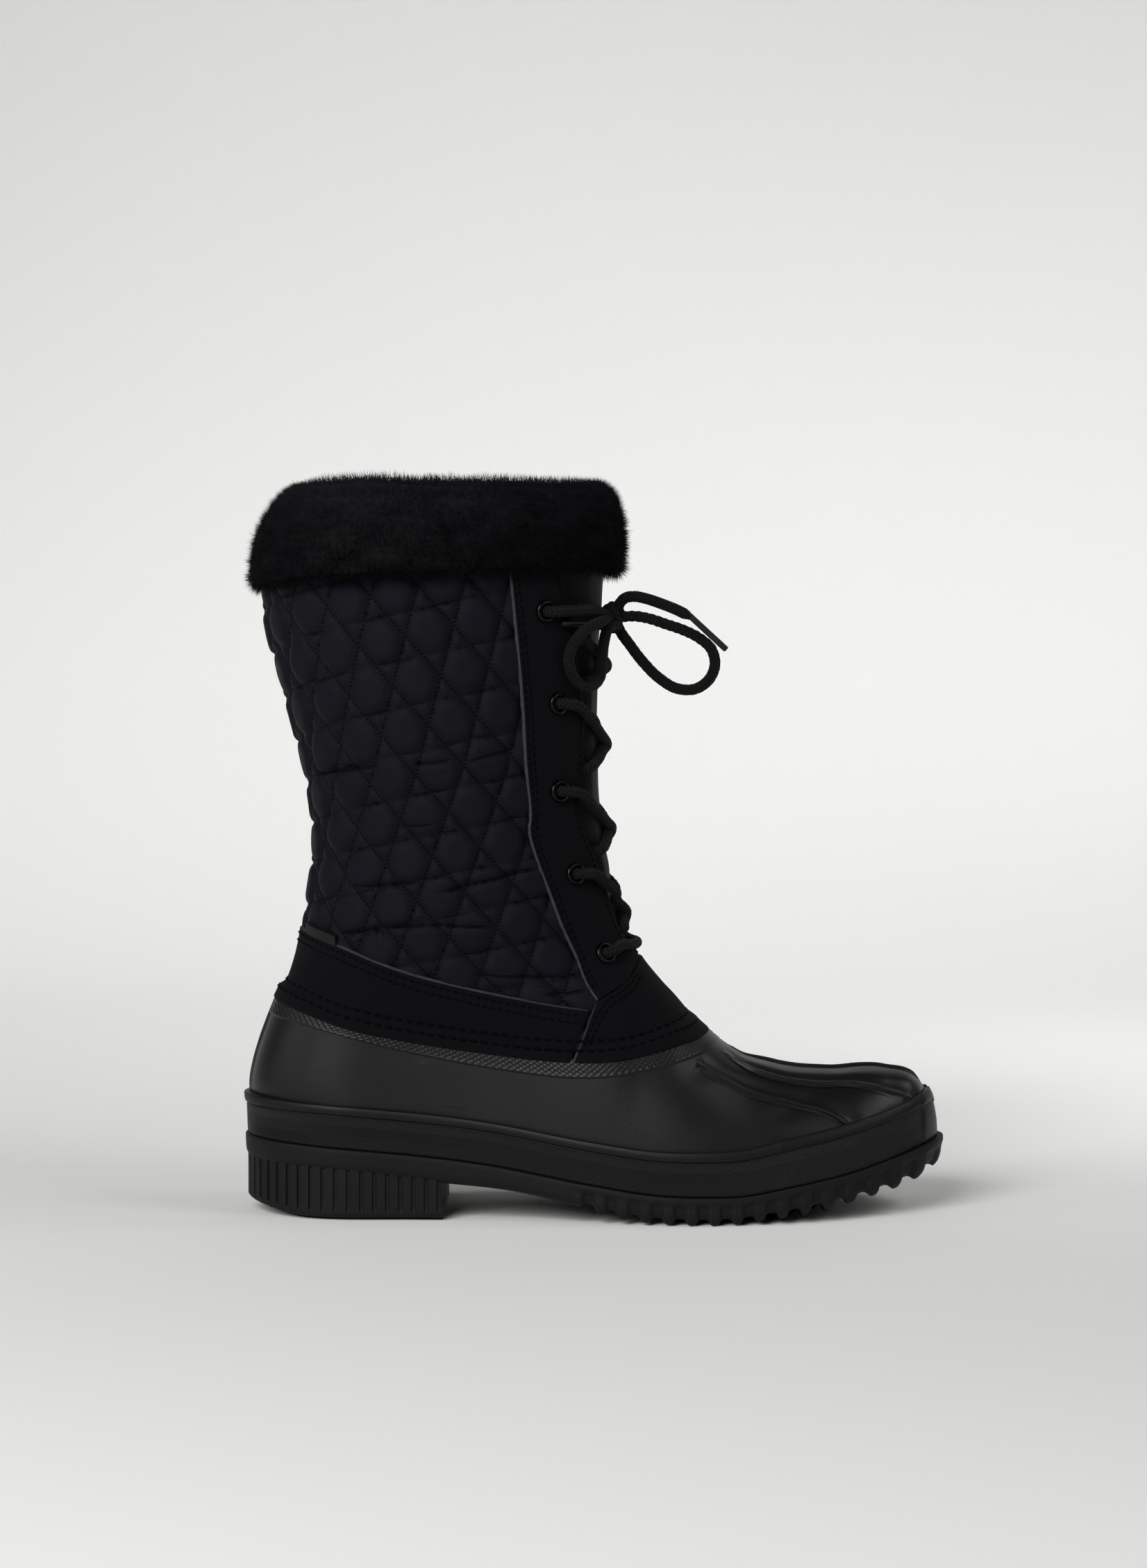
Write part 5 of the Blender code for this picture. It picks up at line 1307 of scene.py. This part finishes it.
def makePanel(name, lower, upper, fromBack, raw):
    shares = np.concatenate([[0.0, 0.02], np.linspace(0.05, 0.95, 26), [0.975, 1.0]])
    lap = 1 - smoothStep(shares, *leather["lapEnds"])
    grid = panelGrid(lower, upper, shares, fromBack)
    outer, inner = [], []
    count = len(lower[0])
    for k, (ring, over) in enumerate(zip(grid, lap)):
        level = mix(leather["outer"], leather["lapOuter"], over)
        low = mix(leather["inner"], leather["lapInner"], over)
        rippled = thereAndBack(level + leather["ripple"] * waves(*ring, leather["rippleSize"], 3.0))
        if k in (0, len(shares) - 1):
            rippled = np.full(2 * count, low + leather["edgeLift"])
        rippled[[0, -1]] = low + leather["edgeLift"]
        outer.append(bothSides(ring, rippled))
        inner.append(bothSides(ring, low))
    outer, inner = np.array(outer), np.array(inner)
    slots = np.zeros((len(shares) - 1, 2 * count - 1), int)
    slots[-1] = 1 if raw["top"] else 0
    slots[:, [0, -1]] = 1 if raw["seam"] else 0
    piece = wallPiece(name, outer, inner, [nubuck, cutEdge], slots)
    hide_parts(name)


def makeBand():
    share = 1 - np.cos(np.pi / 2 * np.concatenate([[1.0, 0.996], np.linspace(0.98, 0.0, 70)]))
    ends = last["topline"]["station"]
    lowX = mix(ends[0], leather["bandFront"], share)
    lowZ = topline(lowX)
    lowX[-1] = backStation(lowZ[-1])
    highX = mix(leather["bandTop"]["station"][0], leather["bandTop"]["station"][-1], share)
    highZ = bandTopLine(highX)
    highX[-1] = backStation(highZ[-1])
    makePanel("counter_band", (lowX, lowZ), (highX, highZ), True, {"top": True, "seam": False})


def makeVamp():
    share = 1 - np.cos(np.pi / 2 * np.concatenate([[1.0, 0.988], np.linspace(0.96, 0.0, 50)]))
    ends = last["topline"]["station"]
    lowX = mix(ends[-1], leather["vampBack"], share)
    lowZ = topline(lowX)
    lowX[-1] = frontStation(lowZ[-1])
    table = leather["vampTop"]
    highX = mix(table["station"][-1], table["station"][0], share)
    highZ = smoothCurve(table["station"], table["height"])(highX) - 0.5
    highX[-1] = frontStation(highZ[-1])
    makePanel("vamp", (lowX, lowZ), (highX, highZ), False, {"top": False, "seam": True})


def eyestayGrid(count, across):
    at = np.linspace(0.0, 1.0, count)
    table = leather["eyestay"]
    row = np.linspace(0.0, 1.0, len(table))
    edge = {key: smoothCurve(row, table[key])(at) for key in table.dtype.names}
    top = leather["vampTop"]
    arc = denseLine(paired(top, "station", "height"), 80)
    arc[-1] = table["frontX"][0], table["frontZ"][0]
    arcX, arcZ = (np.interp(across, np.linspace(0, 1, len(arc)), arc[:, k]) for k in (0, 1))
    height = mix(edge["backZ"][:, None], edge["frontZ"][:, None], across[None])
    behindBack = frontStation(edge["backZ"]) - edge["backX"]
    behindFront = frontStation(edge["frontZ"]) - edge["frontX"]
    station = frontStation(height) - mix(behindBack[:, None], behindFront[:, None], across[None])
    fade = np.clip(1 - at / 0.16, 0.0, 1.0)[:, None]
    return station + fade * (arcX - station[0]), height + fade * (arcZ - height[0])


def makeEyestay(name, side):
    across = np.concatenate([[0.0, 0.034], np.linspace(0.06, 0.95, 34), [0.985, 1.0]])
    station, height = eyestayGrid(150, across)
    station[:, 0] += 0.22 * waves(height[:, 0], station[:, 0], 3.1, 1.0)
    offset = np.full(station.shape, leather["outer"]) + 0.10 * waves(station, height, 14.0, 5.0)
    for row in lace["eyelets"]:
        gap = np.hypot(station - row["station"], height - row["height"])
        offset -= 0.25 * bell(gap - 5.2, 1.6)
    offset[:, [0, -1]] = leather["inner"] + leather["stayEdge"]
    offset[-1] = leather["inner"] + leather["stayEdge"]
    outer = skin(station, height, side, offset)
    kept = coarse(len(station), 30)
    inner = skin(station[kept], height[kept], side, leather["inner"] + leather["stayInner"])
    slots = np.zeros((station.shape[0] - 1, station.shape[1] - 1), int)
    slots[:, 0] = 1
    piece = wallPiece(name, outer, inner, [nubuck, cutEdge], slots)
    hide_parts(name)


makeBand()
makeVamp()
makeEyestay("eyestay_lateral", -1.0)
makeEyestay("eyestay_medial", 1.0)
print("leather made")

# Tongue: smooth cloth, forward between the eyestays and tucked under them
tongue = {
    "foot": 98.0, "top": 258.0, "thick": 3.4, "rows": 90, "columns": 60, "innerRows": 30, "reach": 1.3, "tucked": 1.2,
    "forward": (99.0, 107.0), "lift": (-0.6, 1.1), "raised": (0.6, 0.85), "sag": 0.3,
    "crumple": 0.35, "crumpleSize": 21.0,
}


def makeTongue():
    heights = np.linspace(tongue["foot"], tongue["top"], tongue["rows"])
    across = np.linspace(-tongue["reach"], tongue["reach"], tongue["columns"])  # 1 at the eyestays' edges
    raised = 1 - smoothStep(np.abs(across), *tongue["raised"])
    tucked = -last["wall"] - tongue["tucked"]
    outer, inner = [], []
    for height in heights:
        half = throatHalf(height)
        forward = smoothStep(height, *tongue["forward"])
        level = np.full(len(across), height)
        crumple = tongue["crumple"] * waves(across * half, level, tongue["crumpleSize"], 4.0) * raised
        offset = mix(tucked, mix(*tongue["lift"], smoothStep(height, *lace["rising"])), forward * raised)
        outer.append(frontPoint(across * half, height, offset + crumple - tongue["sag"] * raised))
        inner.append(frontPoint(across * half, height, offset - tongue["thick"]))
    inner = np.array(inner)[coarse(tongue["rows"], tongue["innerRows"])]
    piece = wallPiece("tongue", outer, inner, [tongueCloth, liningFleece], None, 1)
    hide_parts("tongue")


makeTongue()

# Tab: a folded scrap of satin caught in the band's top edge, bare
tab = {"low": (27.6, 38.6), "high": (27.2, 38.4), "rise": 3.2, "rows": 10, "columns": 14}


def makeTab():
    share = np.linspace(0.0, 1.0, tab["columns"])
    outer, inner = [], []
    for up in np.linspace(0.0, 1.0, tab["rows"]):
        lowX = mix(*tab["low"], share)
        station = mix(lowX, mix(*tab["high"], share), up)
        height = bandTopLine(lowX) - 1.0 + up * (tab["rise"] + 1.4)
        curl = 2.5 + 0.5 * up + 0.25 * np.sin(3.0 * share + 1.0) * up
        if up == 1.0:
            curl = np.full(len(share), 1.9)
        outer.append(skin(station, height, -1.0, curl))
        inner.append(skin(station, height, -1.0, 1.2))
    piece = wallPiece("label_tab", outer, inner, [tabSatin])
    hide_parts("label_tab")


makeTab()

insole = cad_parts["insole"]
insole.data.materials.clear()
insole.data.materials.append(insoleFelt)
print("tongue and trim made")

# Fur cuff: a soft folded body, and short locks that stand out of it
fur = {
    "section": rows("offset height lock", [
        (2.2, 249.5, 0.0), (3.2, 247.4, 0.4), (4.4, 247.8, 0.6), (5.0, 252.0, 0.6), (5.0, 259.0, 0.6),
        (4.4, 266.0, 0.6), (2.6, 273.0, 0.5), (0.2, 278.4, 0.4), (-3.2, 281.0, 0.4), (-6.4, 279.0, 0.3),
        (-7.6, 272.4, 0.3), (-7.0, 264.0, 0.3), (-4.8, 263.4, 0.0), (-4.2, 279.0, 0.0), (1.2, 278.6, 0.0)]),
    "columns": 90, "perPiece": 40000, "long": (3.8, 6.0), "wide": 0.14, "body": 1.0, "seed": 11, "rootDeep": 1.2,
    "insideBelow": -3.0, "hemHeight": (249.0, 262.0), "topHeight": (256.0, 281.0), "hemDrop": 3.2, "hemRise": 6.0,
    "crown": 1.6, "crownAt": 0.27, "crownWidth": 0.16, "backLean": (1.9, 1.0), "frontLean": (1.0, 2.2),
}


def cuffLoops(section, columns):
    turn = np.linspace(0.0, 40.0, 2 * columns)
    loops = []
    for i, row in enumerate(section):
        ahead = (1 + np.cos(np.pi * np.linspace(0.0, 1.0, columns))) / 2
        outside = row[0] > fur["insideBelow"]
        hem = 1 - smoothStep(row[1], *fur["hemHeight"])
        top = smoothStep(row[1], *fur["topHeight"])
        crown = fur["crown"] * top * bell(ahead - fur["crownAt"], fur["crownWidth"])
        height = row[1] + outside * ((fur["hemRise"] * ahead - fur["hemDrop"]) * hem + crown)
        station = atShare(ahead, height)
        lean = (fur["backLean"][0] + fur["backLean"][1] * top) * (1 - smoothStep(ahead, 0.0, 0.16))
        lean = (lean - mix(*fur["frontLean"], top) * smoothStep(ahead, 0.86, 1.0)) * outside
        lock = row[2] * (0.5 * np.sin(turn * 2.4 + 1.7 * i) + 0.4 * np.sin(turn * 1.1 + 2.9 * i))
        lock[columns] = lock[columns - 1]
        lock[-1] = lock[0]
        loops.append(bothSides((station, height), row[0] + lock - thereAndBack(lean))[:-1])
    return np.array(loops)


def makeFur():
    section = paired(fur["section"], "offset", "height", "lock")
    outward = np.where(section[:, :1] < fur["insideBelow"], -1.0, 1.0)
    full = section + np.outer(section[:, 2] > 0.4, [fur["body"], 0.0, 0.0]) * outward
    body = ringPiece("fur_cuff", cuffLoops(full, fur["columns"]), [furPile])
    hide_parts("fur_cuff")
    path = denseLine(section[1:12], 120)
    surface = cuffLoops(path, 300)
    surface = np.concatenate([surface, surface[:, :1]], axis=1)
    random = np.random.default_rng(fur["seed"])
    levels = len(surface)
    edgeRow, edgeColumn = np.diff(surface, axis=0)[:, :-1], np.diff(surface, axis=1)[:-1]
    cross = np.cross(edgeColumn, edgeRow)
    area = np.linalg.norm(cross, axis=2)
    middle = surface[:-1, :-1].mean(axis=(0, 1))
    normals = cross / np.maximum(area, 1e-9)[..., None]
    if np.mean(np.sum(normals[20:50] * (surface[20:50, :-1] - middle), axis=2)) < 0:
        normals = -normals
    chance = (area / area.sum()).ravel()
    for name in ("fur_locks_a", "fur_locks_b", "fur_locks_c"):
        pick = random.choice(len(chance), fur["perPiece"], p=chance)
        i, j = np.unravel_index(pick, area.shape)
        s, t = random.random((2, len(pick), 1))
        root = surface[i, j] + s * edgeRow[i, j] + t * edgeColumn[i, j]
        normal = normals[i, j]
        level = (i / (levels - 1))[:, None]
        swirl = waves(root[:, 0] + root[:, 1], root[:, 2], 34.0, 1.0)[:, None]
        clump = waves(root[:, 0] - root[:, 1], root[:, 2] * 1.3, 12.0, 2.0)[:, None]
        around = np.cross(normal, [0.0, 0.0, 1.0])
        hang = mix(0.75, 0.0, smoothStep(level, 0.25, 0.62)) * (1 - smoothStep(level, 0.7, 0.8))
        lie = np.array([0.0, 0.0, -1.0]) * (hang + 0.35 * clump) + around * (0.8 * swirl + 0.25 * clump)
        way = normal + lie + 0.22 * random.normal(size=root.shape)
        way /= np.linalg.norm(way, axis=1, keepdims=True)
        long = random.uniform(*fur["long"], size=(len(root), 1)) * (1 + 0.2 * clump)
        long = long * mix(1.0, 0.9, smoothStep(level, 0.45, 0.6)) * mix(1.25, 1.0, smoothStep(level, 0.0, 0.12))
        root = root - fur["rootDeep"] * normal
        aside = np.cross(way, random.normal(size=root.shape))
        aside /= np.linalg.norm(aside, axis=1, keepdims=True)
        other = np.cross(way, aside)
        wide = fur["wide"] * random.uniform(0.7, 1.3, size=(len(root), 1))
        turns = [2 * np.pi * k / 3 for k in range(3)]
        points = [root + wide * (math.cos(turn) * aside + math.sin(turn) * other) for turn in turns]
        points = np.stack([*points, root + way * long], axis=1).reshape(-1, 3)
        faces = [np.stack([np.arange(len(root)) * 4 + v for v in corners], axis=1)
                 for corners in ((0, 2, 1), (0, 1, 3), (1, 2, 3), (2, 0, 3))]
        faces = np.stack(faces, axis=1).reshape(-1, 3)
        piece = makePiece(name, points, faces, [furPile], smooth=0.0, mend=False)
        shade = normal + 0.9 * lie + 0.18 * random.normal(size=root.shape)
        shade /= np.linalg.norm(shade, axis=1, keepdims=True)
        piece.data.normals_split_custom_set_from_vertices(np.repeat(shade, 4, axis=0).tolist())


makeFur()
print("fur made")

# Stitching: rows of short threads that sink in at each end
stitching = {
    "sides": 6, "proud": 0.05, "along": (-0.5, -0.3, 0.0, 0.3, 0.5), "sunk": (-0.35, 0.1, 0.22, 0.1, -0.35),
    "girth": (0.7, 0.95, 1.0, 0.95, 0.7), "eyestayFrom": 12,
    "lower": {"pitch": 4.1, "long": 2.7, "thick": 0.46, "lifts": (4.8, 8.4)},
    "top": {"pitch": 2.9, "long": 2.0, "thick": 0.32, "drops": (2.6, 5.6)},
    "seam": {"pitch": 2.7, "long": 1.9, "thick": 0.32, "insets": (2.2, 4.4)},
    "eyestay": {"pitch": 2.8, "long": 2.0, "thick": 0.30, "shares": (0.075, 0.15)},
    "front": {"pitch": 2.8, "long": 2.0, "thick": 0.32, "shares": (0.93,)},
}


def stitchParts(line, out, settings):
    along = lengths(line)
    count = int(along[-1] / settings["pitch"])
    parts = []
    for k in range(count):
        middle = (k + 0.5) * settings["pitch"]
        at = middle + settings["long"] * np.array(stitching["along"])
        path, lift = (np.stack([np.interp(at, along, values[:, c]) for c in range(3)], axis=1)
                      for values in (line, out))
        path = path + lift * (np.array(stitching["sunk"]) * settings["thick"] / 0.4)[:, None]
        parts.append(tubeParts(path, settings["thick"] * np.array(stitching["girth"]), stitching["sides"]))
    return parts


def stitchLine(station, height, side, offset, settings):
    offset = offset + stitching["proud"]
    line = skin(station, height, side, offset)
    out = skin(station, height, side, offset + 1.0) - line
    return stitchParts(line, out, settings)


def makeStitches():
    parts = []
    table = leather["vampTop"]
    ends = last["topline"]["station"]
    for side in (-1.0, 1.0):
        settings = stitching["lower"]
        for lift in settings["lifts"]:
            station = mix(ends[0] + 0.05, ends[-1] - 1.0, np.linspace(0.0, 1.0, 500) ** 1.6)
            height = topline(station) + lift
            # leaning with the boot's back and front where the row comes round to them
            nearEnds = smoothStep(station, 150.0, 178.0) + 1 - smoothStep(station, 16.0, 40.0)
            shift = mix(0.42, -0.9, smoothStep(station, 20.0, 175.0)) * lift * 0.7 * nearEnds
            station = keptInside(station + shift, height, 0.4)
            lap = 1 - smoothStep(lift, 4.0, 8.0)
            parts += stitchLine(station, height, side, mix(leather["outer"], leather["lapOuter"], lap), settings)
        settings = stitching["top"]
        for drop in settings["drops"]:
            station = mix(21.5, 131.5, np.linspace(0.0, 1.0, 400) ** 1.6)
            height = bandTopLine(station) - drop
            station = np.maximum(station, backStation(height) + last["edgeGap"])
            parts += stitchLine(station, height, side, leather["outer"], settings)
        settings = stitching["seam"]
        for inset in settings["insets"]:
            # up the vamp's back edge, then forward below its top edge
            path = [(leather["vampBack"] + inset, 62.0), (132.4 + inset, 73.0), (136.9 + inset, 82.6 - 0.4 * inset)]
            path += [(row["station"] + 0.62 * inset, row["height"] - 0.78 * inset) for row in table[1:-1]]
            line = denseLine(path, 200)
            parts += stitchLine(line[:, 0], line[:, 1], side, leather["outer"], settings)
        for key in ("eyestay", "front"):
            settings = stitching[key]
            for share in settings["shares"]:
                station, height = (v[stitching["eyestayFrom"]:, 0] for v in eyestayGrid(260, np.array([share])))
                parts += stitchLine(station, height, side, leather["outer"], settings)
    piece = makePiece("leather_stitches", *joinParts(parts), [threadPoly], smooth=0.0)


makeStitches()
print("stitches made")

# Stage: a pale sweep; soft boxes in front to either side and at the back of the boot, washes on wall and corner
stage = {
    "bendStart": 800.0, "bendRadius": 1000.0, "wallTop": 1400.0, "half": 3200.0, "near": -2600.0,
    "lights": [  # name, place and target in m, size, watts, spread in degrees
        ("key_softbox", (-0.75, -1.63, 1.1), (0.08, 0.0, 0.12), (1.2, 1.2), 39.5, 180.0),
        ("fill_softbox", (1.7, -0.9, 1.2), (0.08, 0.0, 0.12), (0.8, 1.2), 7.6, 180.0),
        ("side_softbox", (-1.5, -0.45, 0.7), (0.0, 0.0, 0.12), (0.8, 1.0), 4.0, 180.0),
        ("wall_wash", (0.55, 0.5, 2.0), (0.45, 1.38, 0.1), (2.6, 0.3), 6.4, 75.0),
        ("corner_wash", (1.15, 0.2, 0.9), (0.44, 0.4, 0.02), (0.5, 0.5), 0.8, 52.0),
    ],
    "ambient": 0.07,
}


def makeStage():
    # matte paper, rolled: even and pale with no shine
    sweep = newVaried("matte_paper_sweep", "#f0f0ee", 0.9, (0.6, "#efefed", "#f1f1ef", 0.88, 0.92),
                      Specular_IOR_Level=0.2)[0]
    turn = np.linspace(0.0, np.pi / 2, 24)
    path = [(stage["near"], 0.0)]
    path += [(stage["bendStart"] + stage["bendRadius"] * math.sin(a), stage["bendRadius"] * (1 - math.cos(a)))
             for a in turn]
    path.append((stage["bendStart"] + stage["bendRadius"], stage["wallTop"]))
    points = [(x, y, z) for y, z in path for x in (-stage["half"], stage["half"])]
    mesh = bpy.data.meshes.new("sweep")
    faces = [(2 * k, 2 * k + 1, 2 * k + 3, 2 * k + 2) for k in range(len(path) - 1)]
    mesh.from_pydata((np.array(points) * mm).tolist(), [], faces)
    mesh.materials.append(sweep)
    mesh.shade_smooth()
    floor = bpy.data.objects.new("sweep", mesh)
    bpy.context.scene.collection.objects.link(floor)
    for name, spot, target, size, power, opening in stage["lights"]:
        data = bpy.data.lights.new(name, "AREA")
        data.shape = "RECTANGLE"
        data.size, data.size_y = size
        data.energy = power
        data.spread = math.radians(opening)
        lamp = bpy.data.objects.new(name, data)
        lamp.location = spot
        lamp.rotation_euler = (Vector(target) - Vector(spot)).to_track_quat("-Z", "Y").to_euler()
        bpy.context.scene.collection.objects.link(lamp)
    world = bpy.data.worlds.new("studio")
    world.use_nodes = True
    feed(world.node_tree.nodes["Background"], {"Color": linear("#f4f5f4"), "Strength": stage["ambient"]})
    bpy.context.scene.world = world
    bpy.context.scene.view_settings.view_transform = "Standard"


makeStage()
print("stage made")
